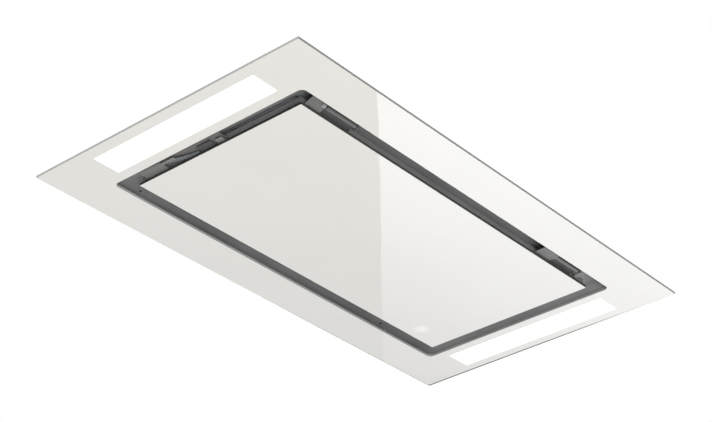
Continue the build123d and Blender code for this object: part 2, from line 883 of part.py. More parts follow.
def scroll_outline():
    """Inside of the scroll and its throat, closed at the outlet edge."""
    step = scroll_step
    half = step / 2
    radius = quarter_radius
    CenterArc(tongue_centre, tongue_arc_radius, tongue_angle, 90 - tongue_angle)
    CenterArc((-half, -half), radius, 90, 90)
    CenterArc((half, -half), radius + step, 180, 90)
    last = CenterArc((half, half), radius + 2 * step, 270, 90)
    Line(last @ 1, (scroll_right_reach, outlet_reach))
    Line((scroll_right_reach, outlet_reach), (throat_left, outlet_reach))
    nose_centre = (
        tongue_point_y + tongue_nose * cos(radians(tongue_angle)),
        tongue_centre[1] + (tongue_arc_radius + tongue_nose) * sin(radians(tongue_angle)),
    )
    nose = CenterArc(nose_centre, tongue_nose, 0, -(180 - tongue_angle))
    Line((throat_left, outlet_reach), nose @ 0)


def make_fan_scroll():
    """Curved wall of the scroll, open at the outlet and at both sides."""
    with BuildPart() as fan_scroll:
        with BuildSketch(fan_plane(0)) as wall:
            with BuildLine():
                scroll_outline()
            make_face()
            inside = wall.sketch_local.face()
            offset(amount=sheet)
            add(inside, mode=Mode.SUBTRACT)
            with Locations(((throat_left + scroll_right_reach) / 2, outlet_reach)):
                Rectangle(
                    throat_width + 3 * sheet,
                    2 * sheet,
                    align=(Align.CENTER, Align.MIN),
                    mode=Mode.SUBTRACT,
                )
        extrude(amount=scroll_half_width, both=True)
    return fan_scroll.part


def make_fan_side(side):
    """Side plate of the scroll with a seam all round and the inlet hole."""
    start = scroll_half_width if side > 0 else -scroll_half_width - sheet
    with BuildPart() as fan_side:
        with BuildSketch(fan_plane(start)):
            with BuildLine():
                scroll_outline()
            make_face()
            offset(amount=sheet + scroll_seam)
            with Locations((0, outlet_reach)):
                Rectangle(
                    4 * scroll_right_reach,
                    2 * (sheet + scroll_seam),
                    align=(Align.CENTER, Align.MIN),
                    mode=Mode.SUBTRACT,
                )
            Circle(inlet_radius + inlet_curve, mode=Mode.SUBTRACT)
        extrude(amount=sheet)
    return fan_side.part


def make_inlet_ring(side):
    """Bellmouth: a flange on the side plate that curves in towards the impeller."""
    outer = scroll_half_width + sheet
    middle = side * (outer + sheet / 2)
    rim = inlet_radius + inlet_curve
    with BuildPart() as inlet_ring:
        with BuildSketch(fan_profile):
            with BuildLine():
                flange = Line((middle, rim + inlet_flange), (middle, rim))
                mouth = RadiusArc(
                    flange @ 1, (middle - side * inlet_curve, inlet_radius), side * inlet_curve
                )
                Line(mouth @ 1, (middle - side * (inlet_curve + sheet), inlet_radius))
            trace(line_width=sheet)
        revolve(axis=fan_axis)
    return inlet_ring.part


def make_impeller():
    """Double-inlet drum of forward-curved blades on a centre disc with a hub."""
    root = impeller_radius - blade_depth
    tip_angle = radians(blade_sweep)
    middle_radius = root + blade_depth / 2
    middle_angle = tip_angle / 4
    with BuildSketch() as blade:
        with BuildLine():
            ThreePointArc(
                (root, 0),
                (middle_radius * cos(middle_angle), middle_radius * sin(middle_angle)),
                (impeller_radius * cos(tip_angle), impeller_radius * sin(tip_angle)),
            )
        trace(line_width=blade_thickness)
    outside = impeller_radius + blade_thickness / 2
    with BuildPart() as impeller:
        with BuildSketch(fan_plane(0)):
            with PolarLocations(0, blade_count):
                add(blade.sketch)
        extrude(amount=impeller_half_width, both=True)
        for start in (-impeller_half_width, impeller_half_width - rim_thickness):
            with BuildSketch(fan_plane(start)):
                Circle(outside)
                Circle(impeller_radius - impeller_rim, mode=Mode.SUBTRACT)
            extrude(amount=rim_thickness)
        with BuildSketch(fan_plane(0)):
            Circle(outside)
        extrude(amount=rotor_disc_thickness / 2, both=True)
        with BuildSketch(fan_plane(rotor_disc_thickness / 2)):
            Circle(hub_radius)
        extrude(amount=-hub_length)
        with BuildSketch(fan_plane(0)):
            Circle(shaft_radius)
        extrude(amount=hub_length, both=True, mode=Mode.SUBTRACT)
    return impeller.part


def make_motor_shaft():
    """Shaft from the hub through the motor."""
    with BuildPart() as motor_shaft:
        with BuildSketch(fan_plane(-hub_length)):
            Circle(shaft_radius)
        extrude(amount=hub_length + shaft_end)
        chamfer(motor_shaft.edges().filter_by(GeomType.CIRCLE), shaft_radius / 8)
    return motor_shaft.part


def make_motor_body():
    """Motor can with rounded ends and a bore for the shaft."""
    with BuildPart() as motor_body:
        with BuildSketch(fan_plane(motor_start)):
            Circle(motor_radius)
        extrude(amount=motor_end - motor_start)
        fillet(motor_body.edges().filter_by(GeomType.CIRCLE), motor_rounding)
        with BuildSketch(fan_plane(motor_start)):
            Circle(shaft_radius + hinge_running_gap)
        extrude(amount=motor_end - motor_start, mode=Mode.SUBTRACT)
    return motor_body.part


def make_motor_bracket():
    """Spider on the right inlet ring: outer ring, arms and a collar on the motor."""
    start = scroll_half_width + 2 * sheet
    collar_inner = motor_radius + collar_gap
    outer = inlet_radius + inlet_curve + inlet_flange
    with BuildPart() as motor_bracket:
        with BuildSketch(fan_plane(start)):
            Circle(outer)
            Circle(outer - inlet_flange, mode=Mode.SUBTRACT)
            with PolarLocations(0, bracket_arm_count, start_angle=90):
                Rectangle(
                    outer - inlet_flange / 2,
                    bracket_arm_width,
                    align=(Align.MIN, Align.CENTER),
                )
            Circle(collar_inner, mode=Mode.SUBTRACT)
        extrude(amount=bracket_thickness)
        with BuildSketch(fan_plane(start)):
            Circle(collar_inner + collar_wall)
            Circle(collar_inner, mode=Mode.SUBTRACT)
        extrude(amount=collar_length)
    return motor_bracket.part


# ---- outlet -------------------------------------------------------------------------


def make_outlet_adaptor():
    """Short transition from the scroll's rectangular outlet to the round duct."""
    with BuildPart() as outlet_adaptor:
        for wall, mode in ((sheet, Mode.ADD), (0, Mode.SUBTRACT)):
            with BuildSketch(Plane.XY.offset(outlet_z)):
                RectangleRounded(
                    2 * (scroll_half_width + wall),
                    throat_width + 2 * wall,
                    sheet + wall,
                )
            with BuildSketch(Plane.XY.offset(roof_z)):
                Circle(duct_bore + wall)
            loft(mode=mode)
    return outlet_adaptor.part


def make_outlet_spigot():
    """Round collar from the adaptor up to the duct, with the ledge the flaps close on."""
    with BuildPart() as outlet_spigot:
        with BuildSketch(Plane.XY.offset(plate_top)):
            Circle(duct_radius + spigot_flange)
            Circle(duct_bore, mode=Mode.SUBTRACT)
        extrude(amount=spigot_flange_thickness)
        with BuildSketch(Plane.XY.offset(roof_z)):
            Circle(duct_radius)
            Circle(duct_bore, mode=Mode.SUBTRACT)
        extrude(amount=spigot_top - roof_z)
        with BuildSketch(Plane.XY.offset(ledge_top - ledge_height)):
            Circle(duct_radius - spigot_wall / 2)
            Circle(duct_bore - ledge_width, mode=Mode.SUBTRACT)
        extrude(amount=ledge_height)
        with BuildSketch(across(0)):
            with Locations((0, flap_z)):
                Circle(flap_pin_radius + hinge_running_gap)
        extrude(amount=2 * duct_radius, both=True, mode=Mode.SUBTRACT)
    return outlet_spigot.part


def make_flap_pin():
    """Pin across the spigot that both flaps turn on."""
    with BuildPart() as flap_pin:
        with BuildSketch(across(0)):
            with Locations((0, flap_z)):
                Circle(flap_pin_radius)
        extrude(amount=duct_radius - spigot_wall / 4, both=True)
    return flap_pin.part


def make_flap(side):
    """Half-round non-return flap with two knuckles on the pin."""
    reach = duct_bore - flap_edge_gap
    knuckles = [
        side * flap_knuckle_stagger + place * flap_knuckle_spacing / 2 for place in (-1, 1)
    ]
    with BuildPart() as flap:
        with BuildSketch(Plane.XY.offset(flap_bottom)):
            Circle(reach)
            with Locations((0, side * flap_root)):
                Rectangle(
                    4 * reach,
                    4 * reach,
                    align=(Align.CENTER, Align.MAX if side > 0 else Align.MIN),
                    mode=Mode.SUBTRACT,
                )
            for x in knuckles:
                with Locations((x, side * (flap_root + flap_pin_radius) / 2)):
                    Rectangle(flap_knuckle_length, flap_root)
        extrude(amount=flap_thickness)
        for x in knuckles:
            with BuildSketch(across(x)):
                with Locations((0, flap_z)):
                    Circle(flap_knuckle_radius)
            extrude(amount=flap_knuckle_length / 2, both=True)
        with BuildSketch(across(0)):
            with Locations((0, flap_z)):
                Circle(flap_pin_radius + hinge_running_gap)
        extrude(amount=duct_radius, both=True, mode=Mode.SUBTRACT)
    return flap.part


# ---- electrics ----------------------------------------------------------------------


def make_control_box():
    """Moulded box hung under the roof, open below for its cover."""
    with BuildPart() as control_box:
        with BuildSketch(Plane.XY.offset(roof_z - control_height)):
            with Locations((control_x, 0)):
                RectangleRounded(control_length, control_width, 3 * plastic_wall)
        extrude(amount=control_height)
        with BuildSketch(Plane.XY.offset(roof_z - control_height)):
            with Locations((control_x, 0)):
                RectangleRounded(
                    control_length - 2 * plastic_wall,
                    control_width - 2 * plastic_wall,
                    2 * plastic_wall,
                )
        extrude(amount=control_height - plastic_wall, mode=Mode.SUBTRACT)
        with BuildSketch(Plane.XY.offset(roof_z - plastic_wall)):
            with Locations((gland_x, 0)):
                Circle(gland_thread_radius + gland_hole_gap)
        extrude(amount=plastic_wall, mode=Mode.SUBTRACT)
    return control_box.part


def make_control_cover():
    """Cover of the control box with a lip that stands up inside it."""
    box_bottom = roof_z - control_height
    with BuildPart() as control_cover:
        with BuildSketch(Plane.XY.offset(box_bottom - cover_thickness)):
            with Locations((control_x, 0)):
                RectangleRounded(control_length, control_width, 3 * plastic_wall)
        extrude(amount=cover_thickness)
        with BuildSketch(Plane.XY.offset(box_bottom)):
            with Locations((control_x, 0)):
                RectangleRounded(
                    control_length - 2 * (plastic_wall + seat_gap),
                    control_width - 2 * (plastic_wall + seat_gap),
                    2 * plastic_wall - seat_gap,
                )
                RectangleRounded(
                    control_length - 2 * (2 * plastic_wall + seat_gap),
                    control_width - 2 * (2 * plastic_wall + seat_gap),
                    plastic_wall,
                    mode=Mode.SUBTRACT,
                )
        extrude(amount=cover_lip)
    return control_cover.part


def make_terminal_block():
    """Screw terminals under the control box's top."""
    top = roof_z - plastic_wall
    with BuildPart() as terminal_block:
        with BuildSketch(Plane.XY.offset(top - terminal_height)):
            with Locations((control_x - gland_offset / 3, 0)):
                Rectangle(terminal_length, terminal_width)
                with GridLocations(terminal_length / 5, 0, 5, 1):
                    Circle(screw_radius, mode=Mode.SUBTRACT)
        extrude(amount=terminal_height / 2)
        with BuildSketch(Plane.XY.offset(top - terminal_height / 2)):
            with Locations((control_x - gland_offset / 3, 0)):
                Rectangle(terminal_length, terminal_width / 2)
        extrude(amount=terminal_height / 2)
    return terminal_block.part


def make_light_driver():
    """Supply for the lights, with a fixing ear at each end, under the roof."""
    with BuildPart() as light_driver:
        with BuildSketch(Plane.XY.offset(roof_z - driver_height)):
            with Locations((driver_x, 0)):
                RectangleRounded(driver_length, driver_width, 2 * plastic_wall)
        extrude(amount=driver_height)
        fillet(light_driver.faces().sort_by(Axis.Z)[0].edges(), plastic_wall)
        with BuildSketch(Plane.XY.offset(roof_z - driver_ear_thickness)):
            with Locations((driver_x, 0)):
                Rectangle(driver_length + 2 * driver_ear, driver_width / 2)
        extrude(amount=driver_ear_thickness)
    return light_driver.part


def make_cable_gland():
    """Cable gland through the roof: thread, hexagon and domed cap round the bore."""
    with BuildPart() as cable_gland:
        with BuildSketch(Plane.XY.offset(plate_top - gland_thread_length)):
            with Locations((gland_x, 0)):
                Circle(gland_thread_radius)
        extrude(amount=gland_thread_length)
        with BuildSketch(Plane.XY.offset(plate_top)):
            with Locations((gland_x, 0)):
                RegularPolygon(gland_flats / 2, 6, major_radius=False)
        extrude(amount=gland_nut_height)
        with BuildSketch(Plane.XY.offset(plate_top + gland_nut_height)):
            with Locations((gland_x, 0)):
                Circle(gland_flats / 2)
        extrude(amount=gland_dome_height)
        fillet(cable_gland.faces().sort_by(Axis.Z)[-1].edges(), gland_flats / 4)
        with BuildSketch(Plane.XY.offset(plate_top - gland_thread_length)):
            with Locations((gland_x, 0)):
                Circle(gland_bore_radius)
        extrude(
            amount=gland_thread_length + gland_nut_height + gland_dome_height,
            mode=Mode.SUBTRACT,
        )
    return cable_gland.part


# ---- write every piece --------------------------------------------------------------

os.makedirs("parts", exist_ok=True)

save(make_glass_frame(), "glass_frame")
save(make_frame_carrier(), "frame_carrier")
save(make_housing_shell(), "housing_shell")
save(make_housing_roof(), "housing_roof")
save(make_outlet_plate(), "outlet_plate")
save(make_cable_plate(), "cable_plate")
save(make_intake_liner(), "intake_liner")
save(make_screws(), "liner_screws")
save(make_hatch_glass(), "hatch_glass")
save(make_hatch_tray(), "hatch_tray")
save(make_fan_scroll(), "fan_scroll")
save(make_impeller(), "impeller")
save(make_motor_shaft(), "motor_shaft")
save(make_motor_body(), "motor_body")
save(make_motor_bracket(), "motor_bracket")
save(make_outlet_adaptor(), "outlet_adaptor")
save(make_outlet_spigot(), "outlet_spigot")
save(make_flap_pin(), "flap_pin")
save(make_flap(-1), "flap_front")
save(make_flap(1), "flap_back")
save(make_control_box(), "control_box")
save(make_control_cover(), "control_cover")
save(make_terminal_block(), "terminal_block")
save(make_light_driver(), "light_driver")
save(make_cable_gland(), "cable_gland")

for name, side in SIDES.items():
    save(make_hinge_arm(side), f"hinge_arm_{name}")
    save(make_hinge_bracket(side), f"hinge_bracket_{name}")
    save(make_hinge_pin(side), f"hinge_pin_{name}")
    save(make_catch_magnet(side), f"catch_magnet_{name}")
    save(make_catch_strike(side), f"catch_strike_{name}")
    save(make_filter_frame(side), f"filter_frame_{name}")
    save(make_filter_mesh(side), f"filter_mesh_{name}")
    save(make_filter_latch(side), f"filter_latch_{name}")
    save(make_light_diffuser(side), f"light_diffuser_{name}")
    save(make_light_tray(side), f"light_tray_{name}")
    save(make_light_board(side), f"light_board_{name}")
    save(make_fan_side(side), f"fan_side_{name}")
    save(make_inlet_ring(side), f"inlet_ring_{name}")
    save(make_suspension_lug(side, -1), f"suspension_lug_front_{name}")
    save(make_suspension_lug(side, 1), f"suspension_lug_back_{name}")
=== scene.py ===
"""Ceiling range hood: finishes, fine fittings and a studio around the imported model.

Lengths are in metres. The origin is the centre of the glass underside, +X runs along the
hood, +Y across it away from the hatch's hinges, and +Z up into the ceiling.
"""

import math

import bmesh
import bpy
import numpy as np
from bpy.props import FloatProperty, FloatVectorProperty, IntProperty, PointerProperty
from mathutils import Matrix, Vector


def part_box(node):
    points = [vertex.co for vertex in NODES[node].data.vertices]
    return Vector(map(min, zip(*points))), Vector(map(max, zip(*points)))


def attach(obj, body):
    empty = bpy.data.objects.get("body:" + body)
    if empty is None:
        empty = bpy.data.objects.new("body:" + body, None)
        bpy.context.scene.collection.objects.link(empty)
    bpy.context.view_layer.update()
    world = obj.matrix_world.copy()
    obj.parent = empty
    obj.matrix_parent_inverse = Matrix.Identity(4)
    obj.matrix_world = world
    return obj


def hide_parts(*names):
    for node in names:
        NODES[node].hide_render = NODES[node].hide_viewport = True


bl_info = {
    "name": "Ceiling Range Hood",
    "version": (1, 0, 0),
    "blender": (4, 5, 0),
    "location": "3D View > Sidebar > Range Hood",
    "description": "Finishes, fine fittings and studio of a ceiling range hood",
    "category": "Object",
}

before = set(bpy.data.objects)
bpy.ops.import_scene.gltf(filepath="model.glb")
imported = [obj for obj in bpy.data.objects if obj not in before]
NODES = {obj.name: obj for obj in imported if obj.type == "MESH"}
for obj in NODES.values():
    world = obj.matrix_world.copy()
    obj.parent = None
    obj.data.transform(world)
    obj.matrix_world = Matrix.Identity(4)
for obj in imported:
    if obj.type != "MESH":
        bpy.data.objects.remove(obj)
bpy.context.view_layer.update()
SIDES = ("left", "right")
LUGS = [f"suspension_lug_{row}_{side}" for row in ("front", "back") for side in SIDES]


def span(node):
    """Lowest and highest corner of a part of the model, as two arrays."""
    low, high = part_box(node)
    return np.array(low), np.array(high)


def points_of(node):
    """All points of a part of the model, as an array (n, 3)."""
    mesh = NODES[node].data
    points = np.empty(len(mesh.vertices) * 3)
    mesh.vertices.foreach_get("co", points)
    return points.reshape(-1, 3)


def pair(name):
    """The left and the right part of that name."""
    return [f"{name}_{side}" for side in SIDES]


# ---- sizes and colours that a user would change ----


def length(name, description, default):
    """A length setting in metres."""
    return FloatProperty(
        name=name, description=description, default=default, unit="LENGTH", precision=5
    )


def colour(name, description, default):
    """A linear colour setting."""
    return FloatVectorProperty(
        name=name, description=description, default=default,
        subtype="COLOR", size=3, min=0.0, max=1.0,
    )


class HoodFinishSettings(bpy.types.PropertyGroup):
    """Colours of the hood's finishes"""

    glass: colour("Glass paint", "White paint behind the glass", (0.84, 0.825, 0.79))
    glass_edge: colour("Glass edge", "Ground edge of the glass", (0.22, 0.22, 0.215))
    powder: colour("Powder coat", "White coat of the frame", (0.80, 0.80, 0.78))
    liner: colour("Liner lacquer", "Grey coat of the intake liner", (0.385, 0.39, 0.39))
    lacquer: colour("Tray lacquer", "Darker coat of the hatch tray", (0.235, 0.235, 0.232))
    foot: colour("Foot lacquer", "Grey coat of the hinge feet and tab", (0.175, 0.172, 0.165))
    lever: colour("Lever lacquer", "Blue-grey coat of the pull lever", (0.18, 0.19, 0.205))
    zinc: colour("Zinc sheet", "Spangled sheet of the housing", (0.60, 0.62, 0.63))
    aluminium: colour("Aluminium", "Filters and flaps", (0.80, 0.81, 0.82))
    moulding: colour("Dark mouldings", "Spigot, fan wheel and latches", (0.030, 0.030, 0.032))


class HoodFilterSettings(bpy.types.PropertyGroup):
    """Sizes of the grease filters' expanded mesh"""

    strand_pitch: length("Strand pitch", "Distance between two strands", 0.0050)
    strand_width: length("Strand width", "Width of one strand", 0.0010)
    strand_thickness: length("Strand thickness", "Thickness of the sheet", 0.0005)
    pleats: IntProperty(
        name="Pleats", description="Folds across one filter", default=26, min=4, max=60
    )


class HoodFixingSettings(bpy.types.PropertyGroup):
    """Sizes of the screws and rivets of the housing"""

    screw_radius: length("Screw radius", "Radius of a screw's washer face", 0.0052)
    screw_height: length("Screw height", "Height of a screw's head", 0.0034)
    rivet_radius: length("Rivet radius", "Radius of a rivet's dome", 0.0034)
    rivet_height: length("Rivet height", "Height of a rivet's dome", 0.0012)


class HoodSlotSettings(bpy.types.PropertyGroup):
    """Sizes of the small parts seen in the perimeter slot"""

    sheet: length("Sheet", "Thickness of the feet, the tab and the clips", 0.0008)
    foot_reach: length("Foot reach", "How far a hinge foot reaches across the slot", 0.0209)
    foot_rise: length("Foot rise", "How far the left foot climbs across the slot", 0.0070)
    tab_reach: length("Tab reach", "How far the guide tab stands out from the tray", 0.0215)
    lever_width: length("Lever width", "Width of the pull lever", 0.0075)


class StudioSettings(bpy.types.PropertyGroup):
    """Light and distances of the studio"""

    sky: FloatProperty(
        name="Sky", description="Strength of the even light from all round",
        default=0.67, min=0.0,
    )
    floor_drop: length("Floor drop", "Floor below the hood's glass", 7.0)


# ---- node helpers ----


def add(tree, kind, inputs=None, **settings):
    """Adds one shader node; an input is a value, or an output socket to link."""
    made = tree.nodes.new("ShaderNode" + kind)
    for key, value in settings.items():
        setattr(made, key, value)
    for key, value in (inputs or {}).items():
        join(tree, value, made.inputs[key])
    return made


def join(tree, value, socket):
    """Links an output socket, or sets a value; a colour is opaque."""
    if isinstance(value, bpy.types.NodeSocket):
        tree.links.new(value, socket)
    else:
        socket.default_value = (*value, 1.0) if socket.type == "RGBA" else value


def maths(tree, operation, first, second=0.0, third=0.0, clamp=False):
    """One Math node's output."""
    inputs = {0: first, 1: second, 2: third}
    return add(tree, "Math", inputs, operation=operation, use_clamp=clamp).outputs[0]


def vectors(tree, operation, *inputs):
    """One Vector Math node's outputs."""
    return add(tree, "VectorMath", dict(enumerate(inputs)), operation=operation).outputs


def remap(tree, value, low, high, to_low=0.0, to_high=1.0):
    """A value from one range carried smoothly to another, clamped."""
    inputs = {
        "Value": value, "From Min": low, "From Max": high,
        "To Min": to_low, "To Max": to_high,
    }
    return add(tree, "MapRange", inputs, interpolation_type="SMOOTHSTEP").outputs[0]


def tint(tree, factor, first, second):
    """Two colours mixed by a factor."""
    return add(tree, "Mix", {0: factor, 6: first, 7: second}, data_type="RGBA").outputs[2]


def shade(value, factor):
    """A colour made darker or lighter."""
    return tuple(min(1.0, part * factor) for part in value)


def noise(tree, place, scale, detail, roughness=0.5):
    """One Noise Texture's outputs."""
    inputs = {"Vector": place, "Scale": scale, "Detail": detail, "Roughness": roughness}
    return add(tree, "TexNoise", inputs).outputs


def own_place(tree):
    """The object's own coordinates."""
    return add(tree, "TexCoord").outputs["Object"]


def empty_tree(owner):
    """The emptied node tree of a material or a world."""
    owner.use_nodes = True
    owner.node_tree.nodes.clear()
    return owner.node_tree


def empty_material(name):
    """A new material and its emptied tree."""
    made = bpy.data.materials.new(name)
    return made, empty_tree(made)


def give_out(tree, shader, kind="Material"):
    """Links a shader node to a new output node."""
    tree.links.new(shader.outputs[0], add(tree, "Output" + kind).inputs["Surface"])


def start_group(name, inputs, outputs):
    """An empty shader group with its named inputs and outputs, and its two ends."""
    tree = bpy.data.node_groups.new(name, "ShaderNodeTree")
    for label, default in inputs.items():
        kind = "NodeSocketVector" if isinstance(default, tuple) else "NodeSocketFloat"
        socket = tree.interface.new_socket(name=label, in_out="INPUT", socket_type=kind)
        socket.default_value = default
    for label in outputs:
        tree.interface.new_socket(name=label, in_out="OUTPUT", socket_type="NodeSocketFloat")
    return tree, tree.nodes.new("NodeGroupInput").outputs, tree.nodes.new("NodeGroupOutput").inputs


def effect(tree, group, inputs=None):
    """Puts a shared effect in a material with its own values; gives its outputs."""
    return add(tree, "Group", inputs, node_tree=bpy.data.node_groups[group]).outputs


# ---- shared effects ----


def grain_effect():
    """Fine Grain: noise over the surface, drawn out along an axis by Stretch."""
    inputs = {"Scale": 800.0, "Detail": 3.0, "Stretch": (1, 1, 1)}
    tree, given, out = start_group("Fine Grain", inputs, ["Grain"])
    drawn = vectors(tree, "MULTIPLY", own_place(tree), given["Stretch"])[0]
    grain = noise(tree, drawn, given["Scale"], given["Detail"], 0.55)["Fac"]
    join(tree, remap(tree, grain, 0.25, 0.75), out["Grain"])


def handling_effect():
    """Handling: broad soft patches, with a few short faint rubs across them."""
    tree, given, out = start_group("Handling", {"Scale": 7.0}, ["Patches", "Rubs"])
    place = own_place(tree)
    turned = add(
        tree, "Mapping",
        {"Vector": place, "Rotation": (0.3, 0.5, 0.7), "Scale": (14.0, 190.0, 60.0)},
    ).outputs[0]
    spread = remap(tree, noise(tree, place, given["Scale"], 4.0)["Fac"], 0.35, 0.65)
    lines = remap(tree, noise(tree, turned, 1.0, 5.0)["Fac"], 0.62, 0.76)
    join(tree, spread, out["Patches"])
    join(tree, maths(tree, "MULTIPLY", lines, spread), out["Rubs"])


def spangle_effect():
    """Zinc Spangle: crystals of one shade each, with feathered borders."""
    tree, given, out = start_group("Zinc Spangle", {"Crystals": 85.0}, ["Shade", "Border"])
    place = own_place(tree)
    wander = noise(tree, place, 60.0, 3.0)["Color"]
    bent = vectors(tree, "MULTIPLY_ADD", wander, (0.012, 0.012, 0.012), place)[0]
    crystals = {"Vector": bent, "Scale": given["Crystals"]}
    cells = add(tree, "TexVoronoi", crystals).outputs
    edges = add(tree, "TexVoronoi", crystals, feature="DISTANCE_TO_EDGE").outputs
    ferns = noise(tree, cells["Position"], 40.0, 2.0)["Fac"]
    own = add(tree, "SeparateColor", {"Color": cells["Color"]}).outputs[0]
    mixed = maths(tree, "MULTIPLY_ADD", ferns, 0.4, maths(tree, "MULTIPLY", own, 0.6))
    join(tree, mixed, out["Shade"])
    join(tree, remap(tree, edges["Distance"], 0.0, 0.06, 1.0, 0.0), out["Border"])


def edge_effect():
    """Rubbed Edge: one where a rounded normal would leave the real one, broken by noise."""
    tree, given, out = start_group("Rubbed Edge", {"Width": 0.0015, "Broken": 0.5}, ["Edge"])
    rounded = add(tree, "Bevel", {"Radius": given["Width"]}, samples=4).outputs[0]
    real = add(tree, "NewGeometry").outputs["Normal"]
    along = vectors(tree, "DOT_PRODUCT", rounded, real)["Value"]
    turn = remap(tree, along, 0.985, 0.80)
    worn = remap(tree, noise(tree, own_place(tree), 130.0, 4.0)["Fac"], 0.40, 0.62)
    kept = maths(tree, "SUBTRACT", 1.0, given["Broken"])
    part = maths(tree, "MULTIPLY_ADD", worn, given["Broken"], kept)
    join(tree, maths(tree, "MULTIPLY", turn, part, clamp=True), out["Edge"])


def dust_effect():
    """Settled Dust: on faces that look up, thicker in soft drifts."""
    tree, given, out = start_group("Settled Dust", {"Amount": 0.4}, ["Dust"])
    place = own_place(tree)
    normal = add(tree, "NewGeometry").outputs["Normal"]
    up = add(tree, "SeparateXYZ", {0: normal}).outputs["Z"]
    soft = remap(tree, noise(tree, place, 9.0, 6.0)["Fac"], 0.3, 0.75, 0.35, 1.0)
    fine = remap(tree, noise(tree, place, 900.0, 2.0)["Fac"], 0.35, 0.65, 0.6, 1.0)
    laid = maths(tree, "MULTIPLY", remap(tree, up, 0.55, 0.98), maths(tree, "MULTIPLY", soft, fine))
    join(tree, maths(tree, "MULTIPLY", laid, given["Amount"], clamp=True), out["Dust"])


# ---- finishes ----

DUST_COLOUR = (0.50, 0.48, 0.45)
EDGE_WIDTH = 0.0012  # how far an edge is rubbed bright
GLASS_IOR = 1.52
RIM_REACH = 0.002  # an edge this near to the glass's outline is an outer one
# The band is partly unpainted glass and partly painted shade along the far +X +Y edges.
BARE_AND_SHADE_BAND, NO_BAND = 0.0032, 0.00001  # width of the glass left bare along its end
SIDE_BAND_SHARE = 3.2  # the bare band is this many times narrower along the side
BAND_FADE = (0.23, 0.03)  # X + Y short of half the length, where the band starts and is whole
LAMPS_IN_WINDOW = 12


def principled(name):
    """A new material with the shader that every finish feeds, its tree and its inputs."""
    made, tree = empty_material(name)
    shader = add(tree, "BsdfPrincipled")
    give_out(tree, shader)
    return made, tree, shader.inputs


def feed(tree, shader, paint, gloss, relief, strength, depth):
    """Gives a shader its colour, its roughness and its bump of a depth in metres."""
    bump = add(tree, "Bump", {"Height": relief, "Strength": strength, "Distance": depth})
    join(tree, paint, shader["Base Color"])
    join(tree, gloss, shader["Roughness"])
    join(tree, bump.outputs[0], shader["Normal"])


def dusted(tree, paint, gloss, amount, dulling):
    """A colour and a roughness under dust; without any they stay as they are."""
    if not amount:
        return paint, gloss
    laid = effect(tree, "Settled Dust", {"Amount": amount})["Dust"]
    paint = tint(tree, laid, paint, DUST_COLOUR)
    return paint, maths(tree, "MULTIPLY_ADD", laid, dulling, gloss, clamp=True)


def layered(tree, paint, base, *layers):
    """A colour under layers of it made darker or lighter: a mask, a share and a factor."""
    for mask, share, factor in layers:
        paint = tint(tree, maths(tree, "MULTIPLY", mask, share), paint, shade(base, factor))
    return paint


def coat(
    name, base, rough, metallic=0.0, grain=900.0, stretch=(1.0, 1.0, 1.0), depth=0.00004,
    patch=0.06, edge=0.0, edge_colour=None, dust=0.0, specular=None,
):
    """A finish with grain, broad patches, rubs, worn edges and dust, each by its amount."""
    made, tree, shader = principled(name)
    fine = effect(tree, "Fine Grain", {"Scale": grain, "Stretch": stretch})["Grain"]
    marks = effect(tree, "Handling")
    paint = tint(tree, marks["Patches"], shade(base, 1.0 - patch), shade(base, 1.0 + patch))
    paint = layered(tree, paint, base, (marks["Rubs"], 0.10, 1.35), (fine, 0.10, 0.75))
    gloss = remap(tree, maths(tree, "MULTIPLY_ADD", fine, 0.5, marks["Patches"]), 0.0, 1.5, *rough)
    if edge:
        worn = effect(tree, "Rubbed Edge", {"Width": EDGE_WIDTH})["Edge"]
        worn = maths(tree, "MULTIPLY", worn, edge)
        paint = tint(tree, worn, paint, edge_colour or shade(base, 1.5))
    paint, gloss = dusted(tree, paint, gloss, dust, 0.5)
    feed(tree, shader, paint, gloss, fine, 0.6, depth)
    shader["Metallic"].default_value = metallic
    if specular is not None:
        shader["Specular IOR Level"].default_value = specular
    return made


def spangled(name, base, crystals, dust):
    """Hot-dip zinc: crystals differ in shade and gloss, and edges are a little brighter."""
    made, tree, shader = principled(name)
    zinc = effect(tree, "Zinc Spangle", {"Crystals": crystals})
    fine = effect(tree, "Fine Grain", {"Scale": 1500.0})["Grain"]
    marks = effect(tree, "Handling", {"Scale": 4.0})
    worn = effect(tree, "Rubbed Edge", {"Width": EDGE_WIDTH, "Broken": 0.3})["Edge"]
    paint = tint(tree, zinc["Shade"], shade(base, 0.78), shade(base, 1.18))
    layers = (zinc["Border"], 0.35, 0.7), (marks["Patches"], 0.22, 0.82), (worn, 0.4, 1.3)
    paint = layered(tree, paint, base, *layers)
    gloss = remap(tree, zinc["Shade"], 0.2, 0.8, 0.30, 0.52)
    gloss = maths(tree, "MULTIPLY_ADD", marks["Rubs"], 0.12, gloss)
    paint, gloss = dusted(tree, paint, gloss, dust, 0.4)
    relief = maths(tree, "MULTIPLY_ADD", zinc["Border"], -0.5, maths(tree, "MULTIPLY", fine, 0.4))
    feed(tree, shader, paint, gloss, relief, 0.5, 0.00006)
    shader["Metallic"].default_value = 0.75
    return made


